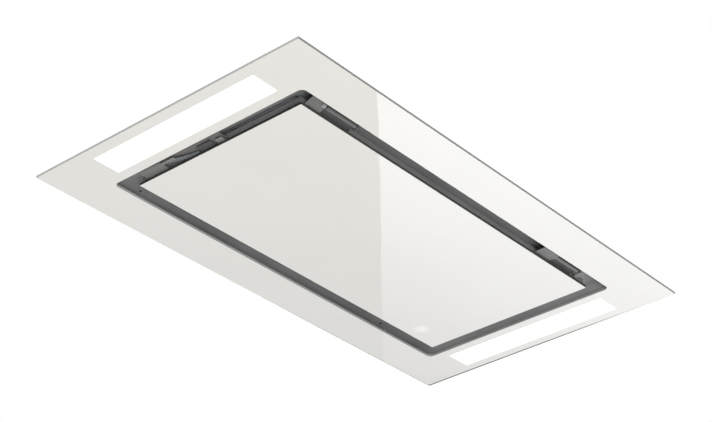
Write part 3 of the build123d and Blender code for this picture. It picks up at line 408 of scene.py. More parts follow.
def painted_glass(name, node, paint, outer, inner, band):
    """White paint behind clear glass: a mirror-smooth face and ground edges, each with a painted
    shade for the long sides and one for the ends.
    The band round the +X +Y corner is nearly black: partly unpainted glass and partly painted
    shade."""
    made, tree, shader = principled(name)
    low, high = span(node)
    half = (high - low)[:2] / 2
    place = add(tree, "SeparateXYZ", {0: own_place(tree)}).outputs
    ground, edge = glass_edge(tree, place, half, outer, inner)
    bare_and_shade = bare_and_shade_band(tree, place, half, band)
    # Painted shade: the band round the +X +Y corner is made nearly black.
    edge = tint(tree, bare_and_shade, edge, shade(outer[0], 0.1))
    marks = effect(tree, "Handling", {"Scale": 3.0})["Patches"]
    fine = effect(tree, "Fine Grain", {"Scale": 55.0, "Detail": 6.0})["Grain"]
    white = tint(tree, marks, shade(paint, 0.985), shade(paint, 1.01))
    white = tint(tree, maths(tree, "MAXIMUM", ground, bare_and_shade), white, edge)
    gloss = remap(tree, maths(tree, "MULTIPLY", fine, marks), 0.0, 0.6, 0.004, 0.02)
    gloss = maths(tree, "MULTIPLY_ADD", ground, 0.25, gloss)
    waves = effect(tree, "Fine Grain", {"Scale": 6.0, "Detail": 1.0})["Grain"]
    feed(tree, shader, white, gloss, waves, 0.25, 0.0003)
    shader["IOR"].default_value = GLASS_IOR
    return made


def glass_edge(tree, place, half, outer, inner):
    """Mask of the ground edges and their colour, on the outline and inside it. The colour carries
    painted shade: each long side and end, on the outline and round the opening, has its own
    darkness.
    """
    normal = add(
        tree, "VectorTransform", {0: add(tree, "NewGeometry").outputs["Normal"]},
        vector_type="NORMAL", convert_from="WORLD", convert_to="OBJECT",
    ).outputs[0]
    looks = add(tree, "SeparateXYZ", {0: normal}).outputs
    ground = remap(tree, maths(tree, "ABSOLUTE", looks["Z"]), 0.95, 0.55)
    on_end = maths(tree, "ABSOLUTE", looks["X"])
    on_rim = maths(tree, "MAXIMUM", *(
        maths(tree, "GREATER_THAN", maths(tree, "ABSOLUTE", place[axis]), reach - RIM_REACH)
        for axis, reach in zip("XY", half)
    ))
    # Painted shade: the edge's colour changes with its side, and between the outline and the
    # opening.
    return ground, tint(tree, on_rim, tint(tree, on_end, *inner), tint(tree, on_end, *outer))


def bare_and_shade_band(tree, place, half, band):
    """Nearly one round the +X +Y corner, within band of the end and its share of the side. It marks
    unpainted glass together with painted shade along the far edges.
    """
    to_end = maths(tree, "SUBTRACT", half[0], place["X"])
    to_side = maths(tree, "SUBTRACT", half[1], place["Y"])
    inward = maths(tree, "MINIMUM", to_end, maths(tree, "MULTIPLY", to_side, SIDE_BAND_SHARE))
    to_corner = maths(tree, "ADD", place["X"], place["Y"])
    near = remap(tree, to_corner, *(half[0] - short for short in BAND_FADE))
    return maths(tree, "MULTIPLY", near, remap(tree, inward, band, band * 1.2, 0.95, 0.0))


def lit_diffuser(name):
    """Opal sheet lit from behind: nearly even, and a breath brighter in front of each
    lamp, by (cos(2 pi lamps y / length) + 1) / 2."""
    made, tree, shader = principled(name)
    low, high = span("light_diffuser_left")
    along = add(tree, "SeparateXYZ", {0: own_place(tree)}).outputs["Y"]
    phase = maths(tree, "MULTIPLY", along, 2 * math.pi * LAMPS_IN_WINDOW / (high[1] - low[1]))
    beads = maths(tree, "MULTIPLY_ADD", maths(tree, "COSINE", phase), 0.5, 0.5)
    fine = effect(tree, "Fine Grain", {"Scale": 1400.0})["Grain"]
    marks = effect(tree, "Handling", {"Scale": 12.0})["Patches"]
    opal = tint(tree, marks, (0.88, 0.88, 0.87), (0.91, 0.91, 0.90))
    feed(tree, shader, opal, remap(tree, fine, 0.0, 1.0, 0.32, 0.42), fine, 0.4, 0.00005)
    glow = tint(tree, beads, (0.95, 0.95, 0.93), (1.0, 1.0, 0.99))
    join(tree, glow, shader["Emission Color"])
    shader["Emission Strength"].default_value = 0.55
    return made


def wear(material, *names):
    """Gives a finish to parts of the model."""
    for name in names:
        for slot in NODES[name].material_slots:
            slot.material = material


# ---- surfaces ----

POLE = 0.00001  # a plate's faces start from a ring of this radius, which weld closes
TIP = 0.00002  # radius at the tip of a turned profile, which weld closes
WELD_DISTANCE = 0.00003
ACROSS, UP = np.eye(3)[1:]


def patch_mesh(name, grids, closed=True, smooth=False):
    """One mesh from grids of points (rows, columns, 3), where each cell is one face.
    Closed joins the last column of each to its first."""
    parts = []
    for points in grids:
        index = np.arange(points[..., 0].size).reshape(points.shape[:2])
        if closed:
            index = np.hstack([index, index[:, :1]])
        quads = np.stack([index[:-1, :-1], index[:-1, 1:], index[1:, 1:], index[1:, :-1]], -1)
        parts.append((points.reshape(-1, 3), quads.reshape(-1, 4)))
    return joined_mesh(name, parts, smooth)


def joined_mesh(name, parts, smooth=False):
    """One mesh object at the origin, from the points and four-sided faces of its parts."""
    starts = np.cumsum([0] + [len(points) for points, quads in parts])
    places = np.concatenate([points for points, quads in parts])
    faces = np.concatenate([start + quads for start, (points, quads) in zip(starts, parts)])
    mesh = bpy.data.meshes.new(name)
    mesh.from_pydata(places, [], faces, shade_flat=not smooth)
    mesh.validate()
    made = bpy.data.objects.new(name, mesh)
    bpy.context.scene.collection.objects.link(made)
    return made


def carried(profile, path, across, up):
    """A closed profile (k, 2) carried along a path: each point of the path plus the
    profile's first measure times across and its second times up."""
    first, second = profile[:, :1] * across[..., None, :], profile[:, 1:] * up[..., None, :]
    return path[..., None, :] + first + second


def turned_heads(name, profile, places, axes, sides, smooth=True):
    """A profile (k, 2) of radius and height turned about each place's own axis.
    A point is place + radius (cos a u + sin a v) + height w, with u, v, w square."""
    angle = np.linspace(0, 2 * math.pi, sides, endpoint=False)
    third = np.asarray(axes, float)
    helper = np.where(np.abs(third[:, 2:3]) > 0.9, [[1.0, 0, 0]], [[0, 0, 1.0]])
    first = np.cross(helper, third)
    first /= np.linalg.norm(first, axis=1, keepdims=True)
    second = np.cross(third, first)
    ring = np.cos(angle)[:, None] * first[:, None] + np.sin(angle)[:, None] * second[:, None]
    radius, height = profile[:, 0, None, None], profile[:, 1, None, None]
    points = np.asarray(places, float)[:, None, None] + radius * ring[:, None]
    return weld(patch_mesh(name, points + height * third[:, None, None], smooth=smooth))


def rounded_plate(low, high, corner=0.001, bevel=0.0002, rise=0.0):
    """Grid of a flat plate: a ring is a corner's centre plus radius (cos a, sin a), and
    rings climb from the middle of one face to the other's. Rise lifts its -Y side."""
    low, high = np.asarray(low, float), np.asarray(high, float)
    start = np.arange(4) * math.pi / 2
    angle = (start[:, None] + np.linspace(0, math.pi / 2, 5)).ravel()
    turn = np.stack([np.cos(angle), np.sin(angle)], 1)
    quadrant = np.repeat([(1, 1), (-1, 1), (-1, -1), (1, -1)], 5, axis=0)
    middle, half = (low + high)[:2] / 2, (high - low)[:2] / 2
    centres = middle + quadrant * (half - corner)
    rings = [middle + POLE * turn, centres + (corner - bevel) * turn, centres + corner * turn]
    flat = np.stack(rings + rings[::-1])
    height = np.array([low[2], low[2], low[2] + bevel, high[2] - bevel, high[2], high[2]])
    height = np.broadcast_to(height[:, None, None], (*flat.shape[:2], 1))
    grid = np.concatenate([flat, height], -1)
    grid[..., 2] += rise * (high[1] - grid[..., 1]) / (high[1] - low[1])
    return grid


def plates(name, grids):
    """One mesh from the grids of several plates."""
    return weld(patch_mesh(name, grids))


def weld(obj):
    """Closes the poles of a piece, where a ring has shrunk to one point."""
    mesh = bmesh.new()
    mesh.from_mesh(obj.data)
    bmesh.ops.remove_doubles(mesh, verts=mesh.verts, dist=WELD_DISTANCE)
    mesh.to_mesh(obj.data)
    mesh.free()
    return obj


def dress(obj, finish, body):
    """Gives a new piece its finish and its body."""
    obj.data.materials.append(bpy.data.materials[finish])
    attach(obj, body)


# ---- finishes of the parts ----


class HOOD_OT_finishes(bpy.types.Operator):
    """Gives every part of the model its finish"""

    bl_idname = "hood.finishes"
    bl_label = "Finish the Parts"

    def execute(self, context):
        for make in (grain_effect, handling_effect, spangle_effect, edge_effect, dust_effect):
            make()
        look = context.scene.hood_finish
        glass_finishes(tuple(look.glass), tuple(look.glass_edge))
        zinc_finishes(tuple(look.zinc))
        for name, base, rough, settings, *parts in coats(look):
            wear(coat(name, tuple(base), rough, **settings), *parts)
        return {"FINISHED"}


def glass_finishes(paint, edge):
    """Finishes of the panes and the light windows. The edges' shades are painted shade, and the
    hatch's edges are painted dark for the shade of the slot.
    """
    # Painted shade: the frame's edges differ by side, on the outline and round the opening.
    outer, inner = (shade(edge, 0.72), shade(edge, 1.9)), (shade(edge, 2.0), shade(edge, 1.8))
    # Painted shade: the hatch's edges are made dark.
    dark = (shade(edge, 0.26), shade(edge, 0.15))
    for name, node, *values in (
        ("White Glass Frame", "glass_frame", outer, inner, BARE_AND_SHADE_BAND),
        ("White Glass Hatch", "hatch_glass", dark, dark, NO_BAND),
    ):
        wear(painted_glass(name, node, paint, *values), node)
    wear(lit_diffuser("Lit Opal Diffuser"), *pair("light_diffuser"))


def zinc_finishes(zinc):
    """Finishes of the spangled sheets, each by its shade, its crystals and its dust."""
    housing = ["housing_shell", "housing_roof", "outlet_plate", "cable_plate"]
    fan = ["fan_scroll", "outlet_adaptor", *pair("fan_side"), *pair("inlet_ring")]
    for name, factor, crystals, dust, parts in (
        ("Spangled Zinc Sheet", 1.0, 105.0, 0.35, housing),
        ("Lug Zinc", 1.08, 150.0, 0.2, LUGS + pair("light_tray")),
        ("Fan Zinc", 0.97, 170.0, 0.15, fan),
    ):
        wear(spangled(name, shade(zinc, factor), crystals, dust), *parts)


def coats(look):
    """Rows of the other finishes: name, colour, least and most roughness, other values of
    coat and the parts that wear it. Those without a part are for new pieces."""
    lacquer = dict(grain=1100.0, patch=0.08, edge=0.35, specular=0.6)
    dark = look.moulding
    return (
        ("White Powder Coat", look.powder, (0.36, 0.52),
         dict(grain=1300.0, patch=0.02, edge=0.25, edge_colour=(0.55, 0.56, 0.56)),
         "frame_carrier"),
        ("Liner Lacquer", look.liner, (0.30, 0.46), lacquer, "intake_liner"),
        ("Dark Lacquer", look.lacquer, (0.30, 0.46), lacquer, "hatch_tray"),
        # Painted shade: the hinges wear the tray lacquer darkened, so that they read as the slot's
        # shade.
        ("Hinge Lacquer", shade(look.lacquer, 0.45), (0.30, 0.46), lacquer,
         *pair("hinge_bracket"), *pair("hinge_arm"), *pair("hinge_pin")),
        ("Foot Lacquer", look.foot, (0.30, 0.46),
         dict(grain=1100.0, patch=0.05, edge=0.3, edge_colour=shade(look.foot, 1.3))),
        ("Lever Lacquer", look.lever, (0.26, 0.42), dict(metallic=0.4, grain=1200.0, edge=0.3)),
        # Painted shade: the foot lacquer darkened, worn by the hinge feet and the shelf.
        ("Shelf Lacquer", shade(look.foot, 0.74), (0.32, 0.48), dict(grain=1100.0, edge=0.2)),
        ("Clip Lacquer", shade(look.foot, 1.35), (0.30, 0.44),
         dict(metallic=0.2, grain=1500.0, edge=0.4)),
        ("Motor Paint", (0.17, 0.175, 0.18), (0.34, 0.50),
         dict(grain=700.0, depth=0.00008, edge=0.4, edge_colour=(0.42, 0.42, 0.42)),
         "motor_body"),
        ("White Board", (0.86, 0.86, 0.84), (0.34, 0.48), dict(grain=1900.0, depth=0.00001),
         *pair("light_board")),
        ("Bright Zinc Plate", (0.62, 0.63, 0.64), (0.20, 0.38),
         dict(metallic=1.0, grain=1700.0, depth=0.00002, patch=0.10, edge=0.3),
         "liner_screws", "flap_pin", *pair("catch_strike")),
        ("Bracket Zinc", (0.55, 0.56, 0.57), (0.28, 0.44),
         dict(metallic=0.9, grain=1400.0, edge=0.3), "motor_bracket"),
        ("Filter Aluminium", look.aluminium, (0.24, 0.42),
         dict(metallic=0.7, grain=420.0, stretch=(0.06, 4.0, 4.0), depth=0.00002, patch=0.05,
              edge=0.25),
         *pair("filter_frame"), *pair("filter_mesh")),
        ("Flap Aluminium", shade(look.aluminium, 0.95), (0.30, 0.48),
         dict(metallic=1.0, grain=380.0, stretch=(0.05, 4.0, 4.0), depth=0.00002, dust=0.25),
         "flap_front", "flap_back"),
        ("Ground Steel", (0.66, 0.66, 0.66), (0.16, 0.30),
         dict(metallic=1.0, grain=500.0, stretch=(4.0, 0.3, 0.3), depth=0.00001),
         "motor_shaft"),
        ("Stop Rubber", (0.070, 0.070, 0.071), (0.60, 0.80), dict(grain=1400.0, depth=0.00006)),
        ("Cap Moulding", (0.30, 0.30, 0.295), (0.36, 0.50), dict(grain=1400.0, edge=0.2)),
        ("Black Magnet Moulding", (0.022, 0.022, 0.023), (0.40, 0.60),
         dict(grain=1500.0, edge=0.3, edge_colour=(0.10, 0.10, 0.10)), *pair("catch_magnet")),
        ("Latch Moulding", shade(dark, 1.3), (0.34, 0.50),
         dict(grain=1600.0, edge=0.3, edge_colour=(0.12, 0.12, 0.12)), *pair("filter_latch")),
        ("Fan Wheel Moulding", shade(dark, 1.1), (0.36, 0.54),
         dict(grain=900.0, stretch=(1.0, 1.0, 2.5), edge=0.25, edge_colour=(0.11, 0.11, 0.11)),
         "impeller"),
        ("Duct Moulding", dark, (0.34, 0.52),
         dict(grain=1200.0, depth=0.00005, edge=0.3, edge_colour=(0.11, 0.11, 0.11), dust=0.18),
         "outlet_spigot"),
        ("Grey Moulding", (0.27, 0.275, 0.28), (0.38, 0.54),
         dict(grain=1300.0, depth=0.00005, edge=0.2, dust=0.15),
         "control_box", "control_cover", "cable_gland"),
        ("Pale Moulding", (0.72, 0.72, 0.68), (0.36, 0.50), dict(grain=1400.0),
         "terminal_block"),
        ("White Moulding", (0.78, 0.78, 0.77), (0.34, 0.48), dict(grain=1300.0, edge=0.15),
         "light_driver"),
    )


# ---- grease filters ----

LAYER_LAP = 1.6  # how far the second layer lies above the first, in thicknesses
STRAND_MEET = 0.96  # how much of its way to a neighbour a strand swings
POCKET_HALF = 0.025  # half of the width in which the latch's pocket is looked for


class HOOD_OT_filters(bpy.types.Operator):
    """Weaves the expanded mesh of both grease filters over their pleats"""

    bl_idname = "hood.filters"
    bl_label = "Make the Filter Mesh"

    def execute(self, context):
        for side in SIDES:
            node = f"filter_mesh_{side}"
            made = expanded_mesh(f"Filter_Mesh_{side.title()}", node, context.scene.hood_filter)
            dress(made, "Filter Aluminium", "hood")
            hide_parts(node)
        return {"FINISHED"}


def expanded_mesh(name, node, size):
    """Strands cross the pleats side by side. Strand j lies at
    y = j pitch + pitch / 2 (-1)^(i + j) at fold i, so that neighbours meet in diamonds,
    and z goes up and down from fold to fold. A second layer lies on the first, half a
    pitch across. Strands stop at the pocket of the latch."""
    low, high = span(node)
    pitch = size.strand_pitch
    half_width, half_thick = size.strand_width / 2, size.strand_thickness / 2
    fold = np.arange(2 * size.pleats + 1)
    x = np.linspace(low[0] + half_width, high[0] - half_width, len(fold))
    start = low[1] + half_width + pitch / 2
    rows = int((high[1] - half_width - start - pitch / 2) / pitch) + 1
    lap = LAYER_LAP * size.strand_thickness
    profile = np.array([(-1, -1), (1, -1), (1, 1), (-1, 1)]) * (half_width, half_thick)
    pocket = pocket_box(node)
    parts = []
    for layer in range(2):
        valley = low[2] + half_thick + layer * lap
        crest = high[2] - half_thick - (1 - layer) * lap
        z = np.where(fold % 2 == 0, valley, crest)
        strand = np.arange(rows - layer)[:, None]
        swing = np.where((fold + strand) % 2 == 0, 0.5, -0.5) * STRAND_MEET
        y = start + layer * pitch / 2 + (strand + swing) * pitch
        path = np.stack(np.broadcast_arrays(x, y, z), -1)
        for part in clear_of(path, pocket, half_width):
            rings = carried(profile, part, ACROSS, UP)
            parts.append((rings.reshape(-1, 3), strand_faces(*rings.shape[:3])))
    return joined_mesh(name, parts)


def strand_faces(strands, along, around):
    """Corners of the four walls of each strand and of its two ends, by point number."""
    index = np.arange(strands * along * around).reshape(strands, along, around)
    turned = np.roll(index, -1, axis=2)
    walls = np.stack([index[:, :-1], index[:, 1:], turned[:, 1:], turned[:, :-1]], -1)
    return np.concatenate([walls.reshape(-1, 4), index[:, 0], index[:, -1, ::-1]])


def pocket_box(node):
    """Left, right and inner end of the latch pocket that the mesh is notched round."""
    points = points_of(node)
    middle = (points[:, 0].min() + points[:, 0].max()) / 2
    beside = np.abs(points[:, 0] - middle) < POCKET_HALF
    inner = points[beside & (points[:, 1] < 0)][:, 1].min()
    end = points[np.abs(points[:, 1] - inner) < 1e-5][:, 0]
    return end.min(), end.max(), inner


def clear_of(path, pocket, margin):
    """The strands as groups of equal length: whole ones past the pocket, and the two
    ends of those that would cross it."""
    left, right, inner = pocket
    crosses = path[:, :, 1].min(1) - margin < inner
    x = path[0, :, 0]
    before, after = x < left - margin, x > right + margin
    groups = [path[~crosses], path[crosses][:, before], path[crosses][:, after]]
    return [group for group in groups if group.size]


# ---- small parts in the perimeter slot ----

PIN_HEAD = 0.0012  # length of a hinge pin's head outside the ear
FOOT_EDGE = 0.0154  # from a hinge pin's -Y side to the feet's +Y edge
LEFT_FOOT, RIGHT_FOOT, OUTER_FOOT = 0.0304, 0.0376, 0.0080  # how far each goes along X
OUTER_FOOT_LAP = 0.0012  # how far the outer foot starts inside the ear
CAP_PROFILE = (
    (0.0036, -0.0002), (0.0050, 0.0006), (0.0050, 0.0052), (0.0043, 0.0066), (TIP, 0.0070),
)
TRAY_RISE = 0.0010  # from the tray's lower edge to the plates on its left wall
LAP = 0.0004  # how far a plate goes into the wall that carries it
LEVER_START, LEVER_SWEEP = (0.002, 0.034), (0.0135, 0.052)  # out from the wall, and along it
LEVER_CURVE, LEVER_THICKNESS = 1.4, 1.4  # power of the curve, and thickness in sheets


class HOOD_OT_slot_parts(bpy.types.Operator):
    """Puts the hinge feet, the pin caps and the tray's tab, clips and lever in the slot"""

    bl_idname = "hood.slot_parts"
    bl_label = "Fit the Slot's Parts"

    def execute(self, context):
        size = context.scene.hood_slot
        feet, caps = hinge_feet(size)
        # The feet wear the foot lacquer darkened as painted shade.
        dress(plates("Hinge_Feet", feet), "Shelf Lacquer", "hood")
        collars = turned_heads("Pin_Caps", np.array(CAP_PROFILE), caps, [(-1, 0, 0)] * 2, 16)
        dress(collars, "Cap Moulding", "hood")
        for name, grids, finish, slot in tray_parts(size):
            dress(plates(name, grids), finish, "hatch")
        return {"FINISHED"}


def hinge_feet(size):
    """Grids of the feet beside the ears, and the places of the caps on the pins' ends."""
    feet, caps = [], []
    for side in SIDES:
        low, high = span(f"hinge_pin_{side}")
        z = span(f"hinge_bracket_{side}")[0][2]
        near, ear = low[1] + FOOT_EDGE, low[0] + PIN_HEAD
        if side == "left":
            ranges = [(ear - LEFT_FOOT, ear, size.foot_rise)]
        else:
            outer = high[0] - OUTER_FOOT_LAP, high[0] + OUTER_FOOT, 0.0
            ranges = [(ear - RIGHT_FOOT, ear, 0.0), outer]
        for start, end, rise in ranges:
            corners = (start, near - size.foot_reach, z), (end, near, z + size.sheet)
            feet.append(rounded_plate(*corners, rise=rise))
        caps.append((low[0], (low[1] + high[1]) / 2, (low[2] + high[2]) / 2))
    return feet, caps


def tray_parts(size):
    """Names, grids, finishes and slots of the small parts on the tray's left wall. A plate
    has its ranges out from the wall, along it and upwards."""
    low = span("hatch_tray")[0]
    wall, z, sheet = low[0], low[2] + TRAY_RISE, size.sheet

    def plate(out, along, up, *rounding):
        corners = zip((wall - out[0], wall - out[1]), along, (z + up[0], z + up[1]))
        return rounded_plate(*corners, *rounding)

    tab = plate((size.tab_reach, -LAP), (0.096, 0.139), (0, sheet))
    clips = [
        plate((0.0195, 0.0140), (0.0715, 0.1010), (-sheet, 0)),
        plate((0.0115, -LAP), (-0.0145, -0.0020), (0, sheet)),
    ]
    stop = plate((0.0145, -LAP), (0.0050, 0.0310), (0, 0.004), 0.002, 0.0008)
    # The shelf is a sheet that stands in for the slot's shade, in the darkened foot lacquer.
    shelf = plate((0.0195, -LAP), (-0.0170, 0.1005), (0.0030, 0.0038))
    return (
        ("Guide_Tab", [tab], "Foot Lacquer", "dark_lacquer"),
        ("Tray_Clips", clips, "Clip Lacquer", "zinc_screws"),
        ("Tray_Stop", [stop], "Stop Rubber", "latch_plastic"),
        ("Tray_Shade_Shelf", [shelf], "Shelf Lacquer", "dark_lacquer"),
        ("Pull_Lever", [pull_lever(wall, z, size)], "Lever Lacquer", "dark_lacquer"),
    )


def pull_lever(wall, z, size):
    """Grid of the tray's pull lever: a flat strip along x = wall - start - sweep t^1.4 and
    y = start + sweep t, with its ends closed."""
    t = np.linspace(0, 1, 17)
    x = wall - LEVER_START[0] - LEVER_SWEEP[0] * t**LEVER_CURVE
    y = LEVER_START[1] + LEVER_SWEEP[1] * t
    centre = np.stack([x, y, np.full_like(t, z)], -1)
    ahead = np.gradient(centre, axis=0)
    ahead /= np.linalg.norm(ahead, axis=1, keepdims=True)
    half, thick, bevel, crown = size.lever_width / 2, size.sheet * LEVER_THICKNESS, 0.0004, 0.0003
    profile = np.array([
        (-half, 0), (-half + bevel, -crown), (half - bevel, -crown), (half, 0), (half, thick),
        (-half, thick),
    ])
    rings = carried(profile, centre, np.cross(UP, ahead), UP)
    middle = rings.mean(1, keepdims=True)
    ends = middle + 1e-5 * (rings - middle)
    return np.concatenate([ends[:1], rings, ends[-1:]])[:, ::-1]


# ---- fixings of the housing ----

SKIRT_SCREWS = (0.38, 0.19, 0.0), (0.13, -0.13)  # along the long and the short walls
SKIRT_SCREW_RISE = 0.0075  # above the lower edge of the roof's skirt
UPSTAND_RIVETS = (0.40, 0.24, 0.08), (0.20, 0.0)
UPSTAND_RIVET_Z = 0.0225
OUTLET_SCREW_INSET = 0.0095
FLANGE_SCREWS, FLANGE_SCREW_RING, FLANGE_THICKNESS = 8, 0.0838, 0.0015
LUG_RIVET_INSET, LUG_RIVET_STEP, LUG_THICKNESS = 0.013, 0.008, 0.002
CABLE_RIVET_INSET = 0.006
FILTER_RIVET_INSET, FILTER_RIVET_Y = 0.0045, 0.128
PLUG_X, PLUG_Y = (-0.295, 0.259), (-0.2005, 0.2005)
SEAM_X, SEAM_FOOT, SEAM_THICKNESS = (0.4040, 0.4245), 0.0345, 0.0008
# Heights of the spot welds' middles, and X and depth of each one's ends
SEAM_WELD_HEIGHTS = np.linspace(0.050, 0.224, 8)
SEAM_WELD_LOW, SEAM_WELD_HIGH, SEAM_WELD_RADIUS = (0.4115, 0.0006), (0.4171, 0.00105), 0.0028


class HOOD_OT_fixings(bpy.types.Operator):
    """Puts in the screws and rivets of the housing and the seams of its walls"""

    bl_idname = "hood.fixings"
    bl_label = "Fit Screws and Rivets"

    def execute(self, context):
        size = context.scene.hood_fixing
        screw, dome = screw_profile(size), rivet_profile(size)
        for name, profile, (places, axes), sides in (
            ("Skirt_Screws", screw, on_skirt(), 12),
            ("Upstand_Rivets", dome, on_upstand(), 14),
            ("Plate_Screws", screw, on_plates(), 12),
            ("Roof_Rivets", dome, on_roof(), 14),
            ("Filter_Rivets", dome * 0.6, on_filters(), 12),
        ):
            heads = turned_heads(name, profile, places, axes, sides, smooth=profile is not screw)
            dress(heads, "Bright Zinc Plate", "hood")
        plugs = turned_heads("Liner_Plugs", dome * 0.7, *on_liner(), 12)
        dress(plugs, "Stop Rubber", "hood")
        dress(plates("Lap_Seams", lap_seams()), "Spangled Zinc Sheet", "hood")
        return {"FINISHED"}


def screw_profile(size):
    """Radius and height of a screw: a thin washer face and a drum with a recess."""
    radius, height = size.screw_radius, size.screw_height
    return np.array([
        (radius, -0.0001), (radius, 0.0007), (radius * 0.66, 0.0011),
        (radius * 0.64, height * 0.86), (radius * 0.52, height), (radius * 0.30, height),
        (radius * 0.24, height * 0.55), (TIP, height * 0.55),
    ])


def rivet_profile(size):
    """Radius and height of a rivet: a dome (radius cos a, height sin a) and a small pit."""
    radius, height = size.rivet_radius, size.rivet_height
    angle = np.linspace(0, math.pi / 2, 5)[:-1]
    dome = np.stack([radius * np.cos(angle), height * np.sin(angle)], 1)
    pit = [(0.0011, height), (0.0010, height * 0.6), (TIP, height * 0.6)]
    return np.vstack([[(radius, -0.0001)], dome, pit])


def on_skirt():
    """Places of the screws through the roof's skirt."""
    low, high = span("housing_roof")
    return on_walls((high - low) / 2, low[2] + SKIRT_SCREW_RISE, *SKIRT_SCREWS)


def on_upstand():
    """Places of the rivets through the frame's upstand, as wide as its topmost points."""
    points = points_of("frame_carrier")
    top = points[points[:, 2] > points[:, 2].max() - 0.001]
    return on_walls(np.abs(top).max(0), UPSTAND_RIVET_Z, *UPSTAND_RIVETS)


def on_walls(half, z, along_x, along_y):
    """Places on the four walls of a box and their outward axes: on the long walls at
    plus and minus each of along_x, and on the short walls at each of along_y."""
    rows = [
        ((x, sign * half[1], z), (0, sign, 0))
        for x in sorted({sign * value for value in along_x for sign in (-1, 1)})
        for sign in (-1, 1)
    ]
    rows += [((sign * half[0], y, z), (sign, 0, 0)) for y in along_y for sign in (-1, 1)]
    places, axes = zip(*rows)
    return np.array(places), np.array(axes, float)


def facing(places, z_axis):
    """Places that all face up or down, with their axes."""
    places = np.array(places, float)
    return places, np.tile([0.0, 0.0, z_axis], (len(places), 1))


def on_plates():
    """Places of the screws round the outlet's plate and through the spigot's flange."""
    high = span("outlet_plate")[1]
    edge, top = high[0] - OUTLET_SCREW_INSET, high[2]
    places = [(x, y, top) for x in (-edge, 0, edge) for y in (-edge, 0, edge) if x or y]
    angle = (np.arange(FLANGE_SCREWS) + 0.5) * 2 * math.pi / FLANGE_SCREWS
    ring = FLANGE_SCREW_RING * np.stack([np.cos(angle), np.sin(angle)], 1)
    return facing([*places, *((x, y, top + FLANGE_THICKNESS) for x, y in ring)], 1.0)


def on_roof():
    """Places of the rivets in the lugs' feet and round the cable's plate."""
    places = []
    for lug in LUGS:
        low, high = span(lug)
        x = high[0] - LUG_RIVET_INSET if lug.endswith("left") else low[0] + LUG_RIVET_INSET
        y, z = (low[1] + high[1]) / 2, low[2] + LUG_THICKNESS
        places += [(x, y + step, z) for step in (-LUG_RIVET_STEP, LUG_RIVET_STEP)]
    low, high = span("cable_plate")
    (x_low, y_low), (x_high, y_high) = low[:2] + CABLE_RIVET_INSET, high[:2] - CABLE_RIVET_INSET
    places += [(x, y, high[2]) for x in (x_low, x_high) for y in (y_low, y_high)]
    return facing(places, 1.0)


def on_filters():
    """Places of the rivets in the corners of the filters' frames, from below."""
    places = []
    for node in pair("filter_frame"):
        low, high = span(node)
        ends = low[0] + FILTER_RIVET_INSET, high[0] - FILTER_RIVET_INSET
        places += [(x, y, low[2]) for x in ends for y in (-FILTER_RIVET_Y, FILTER_RIVET_Y)]
    return facing(places, -1.0)


def on_liner():
    """Places of the dark plugs in the liner's plate above the slot."""
    z = span("hinge_bracket_left")[1][2]
    return facing([(x, y, z) for x in PLUG_X for y in PLUG_Y], -1.0)


def lap_seams():
    """Grids of the lapped strips that close the housing's walls, with spot welds: made
    flat, stood up on the +Y wall, and turned half round for the -Y wall."""
    wall = span("housing_shell")[1][1]
    top = span("housing_roof")[0][2] - SEAM_THICKNESS
    grids = [rounded_plate((SEAM_X[0], SEAM_FOOT, 0.0), (SEAM_X[1], top, SEAM_THICKNESS))]
    for height in SEAM_WELD_HEIGHTS:
        grids.append(rounded_plate(
            (SEAM_WELD_LOW[0], height - SEAM_WELD_RADIUS, SEAM_WELD_LOW[1]),
            (SEAM_WELD_HIGH[0], height + SEAM_WELD_RADIUS, SEAM_WELD_HIGH[1]), 0.0027,
        ))
    upright = [np.stack([g[..., 0], wall + g[..., 2], g[..., 1]], -1)[:, ::-1] for g in grids]
    return upright + [g * (-1, -1, 1) for g in upright]


# ---- studio ----

CAMERA_PLACE = (-1.844575, -1.506501, -1.405598)
CAMERA_PITCH, CAMERA_YAW, CAMERA_ROLL = (math.radians(v) for v in (31.441, 50.126, 0.825))
CAMERA_LENS = 92.71
AIM = (0, 0, 0.15)  # the middle of the hood, which the lamps look at
LAMPS = (  # name, place, size and power
    ("Key", (-2.2, -2.6, 3.4), 2.4, 70.0),
    ("Fill", (2.6, 1.8, 2.6), 2.4, 22.0),
    ("Low", (-2.0, -3.2, -2.8), 2.0, 118.0),
)
CARDS = (  # name, start and end along the cards, colour at the top and towards the foot
    ("Card_Left", -3.2, 0.0, (0.18, 0.20, 0.21), (0.21, 0.195, 0.155)),
    ("Card_Right", 0.0, 3.2, (0.22, 0.23, 0.25), (0.90, 0.92, 0.95)),
)
CARD_HEIGHTS = (-3.2, 0.2)
CARDS_AHEAD, CARDS_DISTANCE = (0.777, 0.629), 5.0  # from the camera to where the cards meet
SLANT = 0.5  # how far the cards' lower colour climbs for each metre along them
SLANT_HEIGHTS = (-1.05, -2.0)  # where the upper colour ends and the lower one is whole
SPOT_ASIDE, SPOT_HEIGHT = 0.118, -1.222  # the small soft lamp, from where the cards meet
CEILING_HOLE, CEILING_REACH, CEILING_Z = (0.440, 0.240), 40.0, 0.0046
FLOOR_REACH = 45.0
FLOOR_GLOW = 0.45  # lifts the floor to white where it is seen


class HOOD_OT_studio(bpy.types.Operator):
    """Sets the camera, the lamps, the pale floor, the ceiling and the reflected cards"""

    bl_idname = "hood.studio"
    bl_label = "Set the Studio"

    def execute(self, context):
        scene = context.scene
        look = scene.hood_studio
        set_camera(scene)
        set_sky(scene, look.sky)
        make_ceiling()
        make_floor(-look.floor_drop)
        make_cards()
        for lamp in LAMPS:
            add_lamp(*lamp)
        scene.view_settings.view_transform = "Standard"
        return {"FINISHED"}


